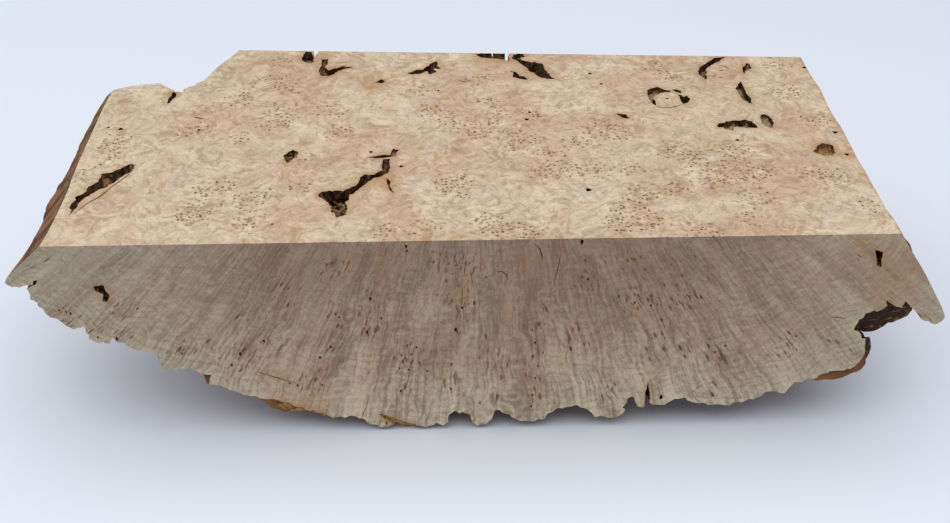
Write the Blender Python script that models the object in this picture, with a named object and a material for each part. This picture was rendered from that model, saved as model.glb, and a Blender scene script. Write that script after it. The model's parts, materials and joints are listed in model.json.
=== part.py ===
"""Maple burl block: one grown piece of wood, sawn flat on its top, its front and its back.

The grown surface is lofted from front to back. Each section starts at the left top edge, runs
out to the left wing, along the underside and up the right wing to the right top edge. The
foremost section is the outline of the sawn front; behind it the teeth of that outline fade out
and the surface becomes a dome of rounded knobs, which thins towards the back and ends in a thin
natural rim at the back left corner. The dark bark pockets of the sawn faces are cut last.
"""

import math

import bmesh
import bpy
import numpy as np
from mathutils import Vector, noise

MM = 0.001

# Driving dimensions in millimetres: X along the block, Y from front to back, Z up
HEIGHT = 119.0
HALF_LENGTH = 226.0
HALF_DEPTH = 103.5
TOP_LEFT = -206.0
TOP_RIGHT = 194.0

# How finely the loft is divided
COLUMN_SPACING = 5.4
ROWS = 30
ROW_CROWDING = 1.3

# How far back the outline's teeth reach, less at the notch in the right side
TOOTH_REACH = 13.0
NOTCH_REACH = 8.0
NOTCH_RANGE = (168.0, 183.0)
PAIRING_REACH = 24.0

# How the dome thins to the back, to the back left rim and to the back right corner
BACK_THINNING = 0.40
BACK_RANGE = (25.0, 103.5)
RIM_THINNING = 0.72
RIM_DIRECTION = (-0.6, 0.8)
RIM_RANGE = (95.0, 165.0)
RIGHT_THINNING = 0.22
RIGHT_DIRECTION = (1.0, 0.5)
RIGHT_RANGE = (176.0, 262.0)

# Share of each wing that is left far back, how far back it draws in, and how abruptly
LEFT_WING = (0.10, 105.0, 2.6)
RIGHT_WING = (0.35, 100.0, 2.0)

# The knobs of the grown surface: size, height, roundness and mean of the large and small ones
LARGE_KNOB = 34.0
LARGE_HEIGHT = 10.0
LARGE_ROUNDNESS = 2.6
LARGE_MEAN = 0.42
SMALL_KNOB = 13.0
SMALL_HEIGHT = 4.5
SMALL_ROUNDNESS = 3.2
SMALL_MEAN = 0.48
KNOB_SWIRL = 9.0
KNOB_SWIRL_SIZE = 60.0
SWIRL_SHIFTS = (0.0, 31.7, 67.3)

# The knobs rise over these lengths from the left and the right top edge, and over this depth
LEFT_SMOOTH = (26.0, 57.0)
RIGHT_SMOOTH = (14.0, 40.0)
FULL_KNOB_DEPTH = 36.0

# Least share of its own distance that a point keeps from the sawn front and back
SAW_MARGIN = 0.4

# How low the grown surface comes between the three spots it rests on, and how softly it ends
CLEARANCE = 1.4
CLEARANCE_SOFTNESS = 1.6
REST_SPOTS = ((-48.0, -78.0), (64.0, -70.0), (6.0, 48.0))
REST_REACH = 15.0
REST_PRESS = 1.35

# Outline of the sawn front, as X and Z, from the left top edge round to the right top edge
FRONT_OUTLINE = (
    (-206, 119), (-214, 111.5), (-220, 106), (-224.5, 101.5), (-226, 99), (-225.5, 97.5),
    (-223.5, 96.5), (-220, 96), (-217, 96.5), (-214, 98), (-208.5, 103), (-212.5, 97.5),
    (-216.5, 94.5), (-216, 88), (-213, 87), (-211.5, 82), (-209.5, 78), (-206, 75.5),
    (-202.5, 72.5), (-199, 70), (-195.5, 71), (-194.5, 73), (-194, 68), (-192, 63),
    (-187.5, 61), (-184.5, 61.5), (-181, 64), (-178, 63), (-174.5, 58), (-170.5, 56.5),
    (-163, 56), (-161, 52.5), (-160, 45), (-155.5, 43), (-148, 45), (-143.5, 42.5),
    (-138, 39), (-138, 34), (-134, 33.5), (-130, 29.5), (-126, 30), (-121.5, 26),
    (-116.5, 25), (-110.5, 23), (-102, 18), (-93.5, 15.5), (-85, 10.5), (-81.5, 11.5),
    (-76.5, 9.5), (-66.5, 11), (-58, 4.5), (-52.5, 2.5), (-46.5, 5.5), (-42.5, 3.5),
    (-30.5, 2), (-25.5, 4), (-22, 3), (-19.5, 5.5), (-18, 10), (-15.5, 12.5),
    (-11.5, 12), (-8.5, 10), (-7, 5.5), (-4.5, 2), (0.5, 4), (6, 13.5),
    (9, 11.5), (13.5, 8.5), (16.5, 6), (22, 4), (31, 6.5), (32, 9),
    (36, 12.5), (47, 15.5), (53.5, 11), (56.5, 7.5), (66, 6.5), (69.5, 7),
    (71.5, 11.5), (73, 20), (75.5, 21), (77, 16.5), (79, 13), (81, 12),
    (84, 16), (86.5, 15.5), (89.5, 14.5), (94, 15), (98.5, 19), (103.5, 18),
    (107.5, 15.5), (125, 13), (134.5, 16.5), (141.5, 18.5), (144.5, 22.5), (151, 21.5),
    (154, 20.5), (156, 26.5), (162.5, 30), (168, 30.5), (172.5, 35.5), (185.5, 36.5),
    (189, 42), (190, 48), (189, 56), (186, 59), (181.5, 63), (186, 72),
    (195, 75.5), (195.5, 79.5), (198, 77.5), (203.5, 74.5), (204, 78.5), (209.5, 75),
    (211.5, 72), (213.5, 69), (216.5, 66.5), (222, 64.5), (224.5, 65.5), (226, 69),
    (223, 75), (212.5, 92), (194, 119),
)

# Edges of the sawn top, as X and Y: the left one ends in the natural rim of the back corner
LEFT_EDGE = (
    (-206, -103.5), (-204.9, -91.5), (-204.6, -76), (-204.8, -54), (-205.6, -43), (-206.2, -24),
    (-206.5, 8.5), (-206.8, 32), (-206.3, 52.5), (-202.5, 54.6), (-197.5, 57), (-191.4, 59),
    (-185, 60), (-180, 60.8), (-174, 61.6), (-166, 62.4), (-160.5, 63.6), (-155.2, 66),
    (-152.9, 75.5), (-150.2, 83.1), (-144.9, 94.1), (-141.5, 103),
)
RIGHT_EDGE = (
    (194.2, -103.5), (194.6, -92), (193.4, -82), (193.6, -69), (193.4, -57), (193.7, -45),
    (193.3, -34), (193.7, -21), (194.1, -1), (193.4, 12), (193.5, 25), (194.6, 42), (193.7, 58),
    (193.5, 71), (193.6, 84.5),
)

# Section of the dome behind the front, as X and Z in the same order, before it thins backwards
DOME_OUTLINE = (
    (-206, 119), (-219.5, 106), (-231, 94), (-216, 85), (-199, 71), (-180, 58),
    (-160, 46), (-138, 34), (-114, 23), (-88, 14), (-60, 9), (-30, 7),
    (0, 8), (30, 10), (60, 11), (92, 14), (122, 17), (146, 22),
    (166, 29), (183, 40), (197, 54), (212, 63), (221, 71), (217, 84),
    (206, 101), (194, 119),
)

# Bark-lined swelling behind the front's lower left: centre on the outline, spread, and shift
SWELLING_CENTRE = (-104.0, 19.0)
SWELLING_SPREAD = 13.0
SWELLING_SHIFT = (-4.0, 0.0, -8.0)
SWELLING_START = 5.0
SWELLING_REACH = 45.0

# Pockets in the sawn top, as X and Y, each with its depth
TOP_POCKETS = (
    (14, ((-198.3, -76.8), (-197.8, -68), (-199, -60.5), (-197, -59.3), (-194.5, -53),
          (-192.8, -46), (-190.8, -39.3), (-186, -38), (-181, -33.5), (-177, -29.5),
          (-177.5, -34.3), (-180.8, -40.5), (-183.3, -48), (-187, -51.8), (-190.8, -58),
          (-194.5, -65.5))),
    (6, ((-97.5, -17.3), (-94.5, -20.5), (-95.8, -25.5), (-98.8, -31), (-100.3, -28),
         (-101.8, -24.3), (-100, -20))),
    (7, ((-90.8, 89), (-87.5, 90), (-87, 84.5), (-88.3, 78.3), (-85.8, 74.5), (-82, 77),
         (-77, 80), (-72, 77.5), (-77.5, 75.8), (-80.8, 72), (-84.5, 67), (-90, 67.5),
         (-91.5, 73.3), (-90.5, 82))),
    (8, ((-40, 69.5), (-34.5, 73.3), (-30.8, 74), (-28.3, 78.3), (-24.5, 83.3), (-22.5, 85.8),
         (-22.5, 79.5), (-20.8, 74.5), (-25, 75), (-22.5, 70.8), (-27, 67), (-29, 71.5),
         (-32.5, 68.3), (-38.3, 67.8))),
    (17, ((21.8, 87), (25.5, 82.5), (29.3, 74.5), (33, 67), (36.8, 62), (40.5, 60), (44.3, 60.3),
          (43, 64.5), (40.5, 70.8), (39.3, 79.5), (35.5, 81.5), (30.5, 82.5), (26.8, 85.8),
          (27, 91), (23, 92.5))),
    (4, ((0, 94.6), (1, 91), (5, 88.5), (12, 87.5), (16, 86), (20, 84), (20.5, 90), (20, 93.6))),
    (30, ((16.8, 102), (21, 102), (20.2, 93), (19.3, 86.5), (18.2, 92))),
    (16, ((-81.2, -61.3), (-79, -59), (-74, -58.3), (-69.5, -58.5), (-65.7, -56), (-62, -51.8),
          (-61.2, -46.8), (-59.5, -42.5), (-57, -44.3), (-54, -43.5), (-50.8, -39.3),
          (-51.5, -34.3), (-50, -28.5), (-47.5, -28), (-46.8, -35.5), (-47.5, -41.8),
          (-50.8, -45.5), (-55.8, -48), (-58.3, -53), (-62, -58), (-65, -63), (-67, -69.3),
          (-66, -76.8), (-67, -81), (-70, -82.3), (-72.5, -80), (-73.8, -74.3), (-75.8, -68.5),
          (-79, -66))),
    (6, ((97.5, 27.5), (95.5, 32), (95, 39.5), (98, 46.5), (101.8, 48.8), (106, 46.5),
         (110.5, 45.8), (115, 44.5), (115, 40.8), (118, 37), (118.5, 32.5), (116, 29),
         (113.5, 30.8), (114.3, 35.8), (111.8, 39.5), (105.5, 40.8), (101.8, 40.8),
         (99.3, 37), (98.5, 30.8))),
    (7, ((130.5, 59.5), (130.5, 63.3), (131.8, 70.8), (135.5, 75.8), (140.5, 83.3), (143.5, 87),
         (145.5, 83.3), (141.8, 78.3), (136.8, 73.3), (134.3, 68.3), (133.5, 62))),
    (7, ((160.5, 78.3), (161.8, 74.5), (158.5, 68.3), (155.5, 64.5), (155.5, 69.5),
         (157.5, 74.5))),
    (8, ((150, 52), (151, 47), (150, 39.5), (151, 34.5), (152.5, 28.3), (150.5, 27.5),
         (148.5, 33.3), (147.3, 39.5), (147.5, 45.8))),
    (8, ((155.5, 15), (158, 13.3), (158.8, 7), (157.5, 1.3), (155, 0.3), (153.3, 4.5),
         (153.3, 12))),
    (8, ((128, 2), (131.8, 7), (136.8, 9), (141, 8.3), (145, 10), (148, 5.8), (148.3, 2),
         (144.3, 1.3), (140.5, 4), (137.5, 0.8), (135.5, -3), (133.5, -0.5))),
    (6, ((173, -25.5), (176.8, -23), (176, -19.3), (179.3, -17.5), (183, -18.5), (183.8, -24.3),
         (181.8, -30), (178, -29.3), (174.3, -29.8))),
    (5, ((-103, 88), (-102, 99.5), (-98, 99.5), (-96, 92), (-95.5, 86), (-98, 83.5))),
    (30, ((-97.2, 108), (-93.2, 108), (-93.8, 98), (-95.2, 92.5), (-96.5, 98))),
    (30, ((-180.5, 60), (-179.3, 58.6), (-174.2, 53.7), (-169.4, 50.2), (-166.8, 49.2),
          (-163.4, 55.5), (-160.2, 59.2), (-156.5, 63.5), (-155.5, 70), (-182, 70))),
    (5, ((-172.2, 35.3), (-172.8, 41.3), (-172, 44.7), (-172, 48.6), (-170.6, 49), (-169, 46.4),
         (-169.2, 43.5), (-170.6, 39.6), (-171.2, 36.1))),
)

# Pockets in the sawn front, as X and Z, each with its depth
FRONT_POCKETS = (
    (9, ((-185.5, 95.5), (-180.5, 96.5), (-180, 93), (-178.5, 90), (-180.5, 86.5),
         (-182.5, 87), (-181.5, 91), (-184.5, 93))),
    (9, ((183.5, 110), (187.5, 108.5), (188.5, 100), (186, 101))),
    (12, ((81.6, 6), (82, 22), (82.6, 31), (84.2, 22), (86, 6))),
)
POCKET_FLOOR = 0.55
POCKET_LIP = 1.5

WOOD_COLOUR = (0.53, 0.40, 0.28, 1.0)
WOOD_ROUGHNESS = 0.62
SHARP_ANGLE = math.radians(40.0)


def clear_scene():
    for item in list(bpy.data.objects):
        bpy.data.objects.remove(item, do_unlink=True)


def new_collection(name, hidden=False):
    collection = bpy.data.collections.new(name)
    collection.hide_render = hidden
    bpy.context.scene.collection.children.link(collection)
    return collection


def move_to(item, collection):
    for holder in list(item.users_collection):
        holder.objects.unlink(item)
    collection.objects.link(item)


def divided(points, spacing):
    """The same outline with its long stretches split."""
    points = np.array(points, float)
    line = [points[:1]]
    for start, end in zip(points[:-1], points[1:]):
        pieces = max(1, round(math.dist(start, end) / spacing))
        steps = np.arange(1, pieces + 1)[:, None] / pieces
        line.append(start + (end - start) * steps)
    return np.concatenate(line)


def run_length(line):
    steps = np.linalg.norm(np.diff(line, axis=0), axis=1)
    return np.concatenate([[0.0], np.cumsum(steps)])


def at_shares(points, shares):
    """Points at these shares of a polyline's length."""
    line = np.array(points, float)
    length = run_length(line)
    return np.stack([np.interp(shares * length[-1], length, line[:, axis]) for axis in (0, 1)], -1)


def rounded(line, reach):
    """The line smoothed over a reach, with both of its ends kept."""
    before = 2 * line[0] - line[1:][::-1]
    after = 2 * line[-1] - line[:-1][::-1]
    padded = np.concatenate([before, line, after])
    length = run_length(padded)
    own = np.gradient(length)
    middle = length[len(before):len(before) + len(line)]
    weight = np.exp(-(((middle[:, None] - length) / reach) ** 2)) * own
    return (weight @ padded) / weight.sum(1, keepdims=True)


def eased(values, limits):
    """Rises smoothly from 0 at the first limit to 1 at the second."""
    share = np.clip((values - limits[0]) / (limits[1] - limits[0]), 0.0, 1.0)
    return share * share * (3.0 - 2.0 * share)


def height_share(x, y):
    """How much of the front's height is left: less at the back, least at the back left rim."""
    rimward = RIM_DIRECTION[0] * x + RIM_DIRECTION[1] * y
    rightward = RIGHT_DIRECTION[0] * x + RIGHT_DIRECTION[1] * y
    to_back = 1.0 - BACK_THINNING * eased(y, BACK_RANGE)
    to_rim = 1.0 - RIM_THINNING * eased(rimward, RIM_RANGE)
    to_right = 1.0 - RIGHT_THINNING * eased(rightward, RIGHT_RANGE)
    return to_back * to_rim * to_right


def drawn_in(behind, wing):
    """Share of a wing's length that is left this far behind the front."""
    share, reach, abruptness = wing
    return share + (1.0 - share) * np.exp(-((behind / reach) ** abruptness))


def placed(section, left, right, behind):
    """Places section points, as X and Z, between the left and right top edge of each row."""
    across, height = section[..., 0], section[..., 1]
    share = np.clip((across - TOP_LEFT) / (TOP_RIGHT - TOP_LEFT), 0.0, 1.0)
    out_left = np.minimum(across - TOP_LEFT, 0.0) * drawn_in(behind, LEFT_WING)
    out_right = np.maximum(across - TOP_RIGHT, 0.0) * drawn_in(behind, RIGHT_WING)
    span = right - left
    x = left[:, :1] + span[:, :1] * share + out_left + out_right
    y = left[:, 1:] + span[:, 1:] / span[:, :1] * (x - left[:, :1])
    z = HEIGHT - (HEIGHT - height) * height_share(x, y)
    return np.stack([x, y, z], -1)


def outward(surface):
    along_section = np.gradient(surface, axis=1)
    along_depth = np.gradient(surface, axis=0)
    normal = np.cross(along_depth, along_section)
    return normal / np.linalg.norm(normal, axis=-1, keepdims=True)


def swirl_at(point):
    """How far the knobs are pulled aside at a point: three slow waves of noise, side by side."""
    place = Vector(point) / KNOB_SWIRL_SIZE
    along = [noise.noise(place + Vector((shift, 0.0, 0.0))) for shift in SWIRL_SHIFTS]
    return Vector(along) * KNOB_SWIRL


def knob_height(point):
    """Rounded knobs with creases between them, in two sizes."""
    spot = Vector(point) + swirl_at(point)
    large = noise.voronoi(spot / LARGE_KNOB)[0]
    small = noise.voronoi(spot / SMALL_KNOB)[0]
    large_dome = 1.0 - math.exp(-LARGE_ROUNDNESS * (large[1] - large[0])) - LARGE_MEAN
    small_dome = 1.0 - math.exp(-SMALL_ROUNDNESS * (small[1] - small[0])) - SMALL_MEAN
    return LARGE_HEIGHT * large_dome + SMALL_HEIGHT * small_dome


def between_saw_cuts(surface, base, back_left, back_right):
    """Y of the surface, kept clear of the sawn front and back, where only the end rows lie."""
    slope = (back_right[1] - back_left[1]) / (back_right[0] - back_left[0])
    back = back_left[1] + slope * (surface[..., 0] - back_left[0])
    base_back = back_left[1] + slope * (base[..., 0] - back_left[0])
    from_back = np.maximum(back - surface[..., 1], SAW_MARGIN * (base_back - base[..., 1]))
    least = SAW_MARGIN * (base[..., 1] + HALF_DEPTH)
    from_front = np.maximum(surface[..., 1] + HALF_DEPTH, least)
    y = np.where(base[..., 1] > 0, back - from_back, from_front - HALF_DEPTH)
    y[0] = -HALF_DEPTH
    y[-1] = back[-1]
    return y


def paired_dome(outline):
    """A point of the dome's section for each point of the front outline, in the same order."""
    run = run_length(rounded(outline, PAIRING_REACH))
    return rounded(at_shares(DOME_OUTLINE, run / run[-1]), TOOTH_REACH)


def grown_surface():
    """Grid of points of the grown surface, one row for each section, front row first."""
    outline = divided(FRONT_OUTLINE, COLUMN_SPACING)
    dome = paired_dome(outline)
    run = run_length(outline)
    shares = np.linspace(0.0, 1.0, ROWS) ** ROW_CROWDING
    left = at_shares(LEFT_EDGE, shares)
    right = at_shares(RIGHT_EDGE, shares)
    behind = shares[:, None] * (2 * HALF_DEPTH) * np.ones(len(outline))

    base = placed(dome[None] * np.ones((ROWS, 1, 1)), left, right, behind)
    normal = outward(base)
    reach = TOOTH_REACH + (NOTCH_REACH - TOOTH_REACH) * eased(outline[:, 0], NOTCH_RANGE)
    tooth = np.exp(-((behind / reach) ** 2))
    section = dome + (outline - dome) * tooth[..., None]
    surface = placed(section, left, right, behind)

    knobs = np.array([[knob_height(point) for point in row] for row in base])
    knobs *= eased(run, LEFT_SMOOTH) * eased(run[-1] - run, RIGHT_SMOOTH)
    knobs *= eased(HEIGHT - base[..., 2], (0.0, FULL_KNOB_DEPTH))
    knobs *= 1.0 - tooth
    surface += normal * knobs[..., None]
    near = np.exp(-(((outline - SWELLING_CENTRE) ** 2).sum(1)) / SWELLING_SPREAD ** 2)
    starting = 1.0 - np.exp(-behind / SWELLING_START)
    swelling = near * starting * np.exp(-((behind / SWELLING_REACH) ** 2))
    surface += swelling[..., None] * SWELLING_SHIFT
    surface[..., 1] = between_saw_cuts(surface, base, left[-1], right[-1])

    z = surface[..., 2]
    above = np.logaddexp(0.0, (z - CLEARANCE) / CLEARANCE_SOFTNESS)
    kept_up = CLEARANCE + CLEARANCE_SOFTNESS * above
    z = z * tooth + kept_up * (1.0 - tooth)
    for x, y in REST_SPOTS:
        gap = (surface[..., 0] - x) ** 2 + (surface[..., 1] - y) ** 2
        z = z * (1.0 - np.minimum(1.0, REST_PRESS * np.exp(-gap / REST_REACH ** 2)))
    surface[..., 2] = z
    surface[:, (0, -1), 2] = HEIGHT
    box = np.array([HALF_LENGTH, HALF_DEPTH, HEIGHT])
    return np.clip(surface, (-HALF_LENGTH, -HALF_DEPTH, 0.0), box)


def wood_material():
    material = bpy.data.materials.new("maple_burl_wood")
    material.use_nodes = True
    shader = material.node_tree.nodes["Principled BSDF"]
    shader.inputs["Base Color"].default_value = WOOD_COLOUR
    shader.inputs["Roughness"].default_value = WOOD_ROUGHNESS
    shader.inputs["Metallic"].default_value = 0.0
    return material


def make_block(name, collection):
    """A grid bent into the grown surface, closed by the flat sawn top, front and back."""
    surface = grown_surface()
    rows, columns = surface.shape[:2]
    bpy.ops.mesh.primitive_grid_add(x_subdivisions=columns - 1, y_subdivisions=rows - 1, size=1)
    block = bpy.context.object
    block.name = block.data.name = name
    block.data.vertices.foreach_set("co", (surface * MM).astype(np.float32).ravel())
    mesh = bmesh.new()
    mesh.from_mesh(block.data)
    mesh.verts.ensure_lookup_table()
    grid = [mesh.verts[row * columns:(row + 1) * columns] for row in range(rows)]
    left = [row[0] for row in grid]
    right = [row[-1] for row in grid]
    for sawn_face in (left + right[::-1], grid[0], grid[-1]):
        mesh.faces.new(sawn_face)
    bmesh.ops.recalc_face_normals(mesh, faces=mesh.faces)
    mesh.to_mesh(block.data)
    mesh.free()
    block.data.materials.append(wood_material())
    block.data.shade_smooth()
    block.data.set_sharp_from_angle(angle=SHARP_ANGLE)
    move_to(block, collection)
    return block


def make_pocket(name, points, to_world, inward, collection):
    """A cutter: a flat outline at the sawn face, drawn inwards to a smaller floor."""
    bpy.ops.mesh.primitive_circle_add(vertices=len(points), fill_type="NGON")
    pocket = bpy.context.object
    pocket.name = pocket.data.name = name
    mesh = bmesh.new()
    mesh.from_mesh(pocket.data)
    mesh.verts.ensure_lookup_table()
    for vertex, point in zip(mesh.verts, points):
        vertex.co = to_world(*point)
    middle = sum((vertex.co for vertex in mesh.verts), Vector()) / len(points)
    floor = bmesh.ops.extrude_face_region(mesh, geom=list(mesh.faces))["geom"]
    for vertex in (item for item in floor if isinstance(item, bmesh.types.BMVert)):
        vertex.co = middle + (vertex.co - middle) * POCKET_FLOOR + inward
    bmesh.ops.recalc_face_normals(mesh, faces=mesh.faces)
    mesh.to_mesh(pocket.data)
    mesh.free()
    pocket.display_type = "WIRE"
    pocket.hide_render = True
    move_to(pocket, collection)


def make_pockets(collection):
    def on_top(x, y):
        return Vector((x, y, HEIGHT + POCKET_LIP)) * MM

    def on_front(x, z):
        return Vector((x, -HALF_DEPTH - POCKET_LIP, z)) * MM

    for number, (depth, points) in enumerate(TOP_POCKETS, 1):
        inward = Vector((0, 0, -depth - POCKET_LIP)) * MM
        make_pocket(f"top_pocket_{number:02d}", points, on_top, inward, collection)
    for number, (depth, points) in enumerate(FRONT_POCKETS, 1):
        inward = Vector((0, depth + POCKET_LIP, 0)) * MM
        make_pocket(f"front_pocket_{number:02d}", points, on_front, inward, collection)


def cut_with(block, collection):
    cut = block.modifiers.new("bark_pockets", "BOOLEAN")
    cut.operation = "DIFFERENCE"
    cut.operand_type = "COLLECTION"
    cut.collection = collection
    cut.solver = "EXACT"


def main():
    clear_scene()
    parts = new_collection("maple_burl_parts")
    cutters = new_collection("maple_burl_cutters", hidden=True)
    block = make_block("maple_burl", parts)
    make_pockets(cutters)
    cut_with(block, cutters)


main()
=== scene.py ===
"""Maple burl block: one grown piece of wood, sawn flat on its top, its front and its back.

The block is made in three steps, each an operator of its own. A lump is bent into the grown
surface, with its wings, teeth and knobs, and three saw cuts are made through it. Bark pockets,
cracks and pin holes are then cut into the sawn faces. Last, the figure of the wood is worked out
at each point of the surface, and the three finishes are put on.
"""

import json
import math

import bmesh
import bpy
import numpy as np
from bpy.props import FloatProperty, FloatVectorProperty, IntProperty, PointerProperty
from mathutils import Euler, Matrix, Vector, noise

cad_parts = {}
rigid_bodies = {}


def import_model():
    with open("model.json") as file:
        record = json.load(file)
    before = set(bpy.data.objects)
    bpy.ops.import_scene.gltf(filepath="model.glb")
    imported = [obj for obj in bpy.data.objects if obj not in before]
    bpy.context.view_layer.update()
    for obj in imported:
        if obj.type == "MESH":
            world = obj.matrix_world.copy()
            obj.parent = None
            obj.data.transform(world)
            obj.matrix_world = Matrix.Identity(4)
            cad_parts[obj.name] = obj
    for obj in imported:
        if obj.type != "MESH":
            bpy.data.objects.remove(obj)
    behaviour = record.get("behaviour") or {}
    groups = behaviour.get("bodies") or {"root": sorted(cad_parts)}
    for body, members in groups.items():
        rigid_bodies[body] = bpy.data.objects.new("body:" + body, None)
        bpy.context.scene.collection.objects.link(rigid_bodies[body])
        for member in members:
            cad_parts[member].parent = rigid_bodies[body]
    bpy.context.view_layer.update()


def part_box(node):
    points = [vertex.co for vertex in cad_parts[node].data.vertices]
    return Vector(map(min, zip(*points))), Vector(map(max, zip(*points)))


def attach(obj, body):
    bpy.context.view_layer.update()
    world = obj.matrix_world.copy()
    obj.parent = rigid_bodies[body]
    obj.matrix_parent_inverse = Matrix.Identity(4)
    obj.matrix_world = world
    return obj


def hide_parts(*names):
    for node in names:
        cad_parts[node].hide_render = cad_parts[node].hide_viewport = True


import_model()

bl_info = {
    "name": "Maple Burl Block",
    "version": (1, 0, 0),
    "blender": (4, 5, 0),
    "location": "View3D > Sidebar > Burl",
    "description": "Makes a sawn block of maple burl with its bark pockets, its figure and its stage",
    "category": "Add Mesh",
}

MM = 0.001
CAD_NODE = "maple_burl"
BLOCK = "burl_block"
SAWN = "maple_burl_band_sawn"
GROWN = "maple_burl_grown_surface"
POCKET = "maple_bark_torn_in_pockets"
FINISHES = (SAWN, GROWN, POCKET)

# Driving dimensions in millimetres: X along the block, Y from front to back, Z up
HEIGHT = 119.0
HALF_LENGTH = 226.0
HALF_DEPTH = 103.5
TOP_LEFT = -206.0
TOP_RIGHT = 194.0

ROW_CROWDING = 1.3

# How far back the outline's teeth reach, less at the notch in the right side
TOOTH_REACH = 13.0
NOTCH_REACH = 8.0
NOTCH_RANGE = (168.0, 183.0)
PAIRING_REACH = 24.0

# How the dome thins to the back, to the back left rim and to the back right corner
BACK_THINNING = 0.40
BACK_RANGE = (25.0, 103.5)
RIM_THINNING = 0.72
RIM_DIRECTION = (-0.6, 0.8)
RIM_RANGE = (95.0, 165.0)
RIGHT_THINNING = 0.22
RIGHT_DIRECTION = (1.0, 0.5)
RIGHT_RANGE = (176.0, 262.0)

# Share of each wing that is left far back, how far back it draws in, and how abruptly
LEFT_WING = (0.10, 105.0, 2.6)
RIGHT_WING = (0.35, 100.0, 2.0)

# The knobs of the grown surface: size, height, roundness and mean of the large and small ones
LARGE_KNOB = 34.0
LARGE_HEIGHT = 10.0
LARGE_ROUNDNESS = 2.6
LARGE_MEAN = 0.42
SMALL_KNOB = 13.0
SMALL_HEIGHT = 4.5
SMALL_ROUNDNESS = 3.2
SMALL_MEAN = 0.48
KNOB_SWIRL = 9.0
KNOB_SWIRL_SIZE = 60.0
SWIRL_SHIFTS = (0.0, 31.7, 67.3)

# Each spike's reach and the gap that it leaves, as shares of the spikes' spacing and height
SPIKE_REACH = 0.28
SPIKE_SINK = 0.2

# Spikes stand thick or thin over this distance, with this least share, and are a little uneven
SPIKE_PATCH = 24.0
SPIKE_LEAST = 0.35
SPIKE_CONTRAST = 1.6
UNEVEN_SIZE = 3.4
UNEVEN_HEIGHT = 0.3

# Sizes of the coarse and the fine tear of a sawn edge, and the fine one's share and seed step
COARSE_TEAR = 3.1
FINE_TEAR = 1.3
FINE_SHARE = 0.6
FINE_SEED_STEP = 7.0

# The knobs rise over these lengths from the left and the right top edge, and over this depth
LEFT_SMOOTH = (26.0, 57.0)
RIGHT_SMOOTH = (14.0, 40.0)
FULL_KNOB_DEPTH = 36.0
SPIKE_RANGE = (1.0, 12.0)

# Least share of its own distance that a point keeps from the sawn front and back
SAW_MARGIN = 0.4

# How low the grown surface comes between the three spots it rests on, and how softly it ends
CLEARANCE = 1.4
CLEARANCE_SOFTNESS = 1.6
REST_SPOTS = ((-48.0, -78.0), (64.0, -70.0), (6.0, 48.0))
REST_REACH = 15.0
REST_PRESS = 1.35

# How far the lump is closed outside each saw cut, how far its own edge is drawn in to the cut,
# and how far the box of the saw cuts reaches past the block's ends and below it
CUT_MARGIN = 8.0
CUT_INSET = 0.04
SPARE_LENGTH = 14.0
SPARE_DEPTH = 12.0

# An edge runs along an axis if this share of its length does
ALONG_AXIS = 0.9

# How far short of the frame's right side the block may end, and how far past it, in metres
SHORT_OF_FRAME = 0.004
PAST_FRAME = 0.001

# Outline of the sawn front, as X and Z, from the left top edge round to the right top edge
FRONT_OUTLINE = (
    (-206, 119), (-214, 111.5), (-220, 106), (-224.5, 101.5), (-226, 99), (-225.5, 97.5),
    (-223.5, 96.5), (-220, 96), (-217, 96.5), (-214, 98), (-208.5, 103), (-212.5, 97.5),
    (-216.5, 94.5), (-216, 88), (-213, 87), (-211.5, 82), (-209.5, 78), (-206, 75.5),
    (-202.5, 72.5), (-199, 70), (-195.5, 71), (-194.5, 73), (-194, 68), (-192, 63),
    (-187.5, 61), (-184.5, 61.5), (-181, 64), (-178, 63), (-174.5, 58), (-170.5, 56.5),
    (-163, 56), (-161, 52.5), (-160, 45), (-155.5, 43), (-148, 45), (-143.5, 42.5),
    (-138, 39), (-138, 34), (-134, 33.5), (-130, 29.5), (-126, 30), (-121.5, 26),
    (-116.5, 25), (-110.5, 23), (-102, 18), (-93.5, 15.5), (-85, 10.5), (-81.5, 11.5),
    (-76.5, 9.5), (-66.5, 11), (-58, 4.5), (-52.5, 2.5), (-46.5, 5.5), (-42.5, 3.5),
    (-30.5, 2), (-25.5, 4), (-22, 3), (-19.5, 5.5), (-18, 10), (-15.5, 12.5),
    (-11.5, 12), (-8.5, 10), (-7, 5.5), (-4.5, 2), (0.5, 4), (6, 13.5),
    (9, 11.5), (13.5, 8.5), (16.5, 6), (22, 4), (31, 6.5), (32, 9),
    (36, 12.5), (47, 15.5), (53.5, 11), (56.5, 7.5), (66, 6.5), (69.5, 7),
    (71.5, 11.5), (73, 20), (75.5, 21), (77, 16.5), (79, 13), (81, 12),
    (84, 16), (86.5, 15.5), (89.5, 14.5), (94, 15), (98.5, 19), (103.5, 18),
    (107.5, 15.5), (125, 13), (134.5, 16.5), (141.5, 18.5), (144.5, 22.5), (151, 21.5),
    (154, 20.5), (156, 26.5), (162.5, 30), (168, 30.5), (172.5, 35.5), (185.5, 36.5),
    (189, 42), (190, 48), (189, 56), (186, 59), (181.5, 63), (186, 72),
    (195, 75.5), (195.5, 79.5), (198, 77.5), (203.5, 74.5), (204, 78.5), (209.5, 75),
    (211.5, 72), (213.5, 69), (216.5, 66.5), (222, 64.5), (224.5, 65.5), (226, 69),
    (223, 75), (212.5, 92), (194, 119),
)

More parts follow.
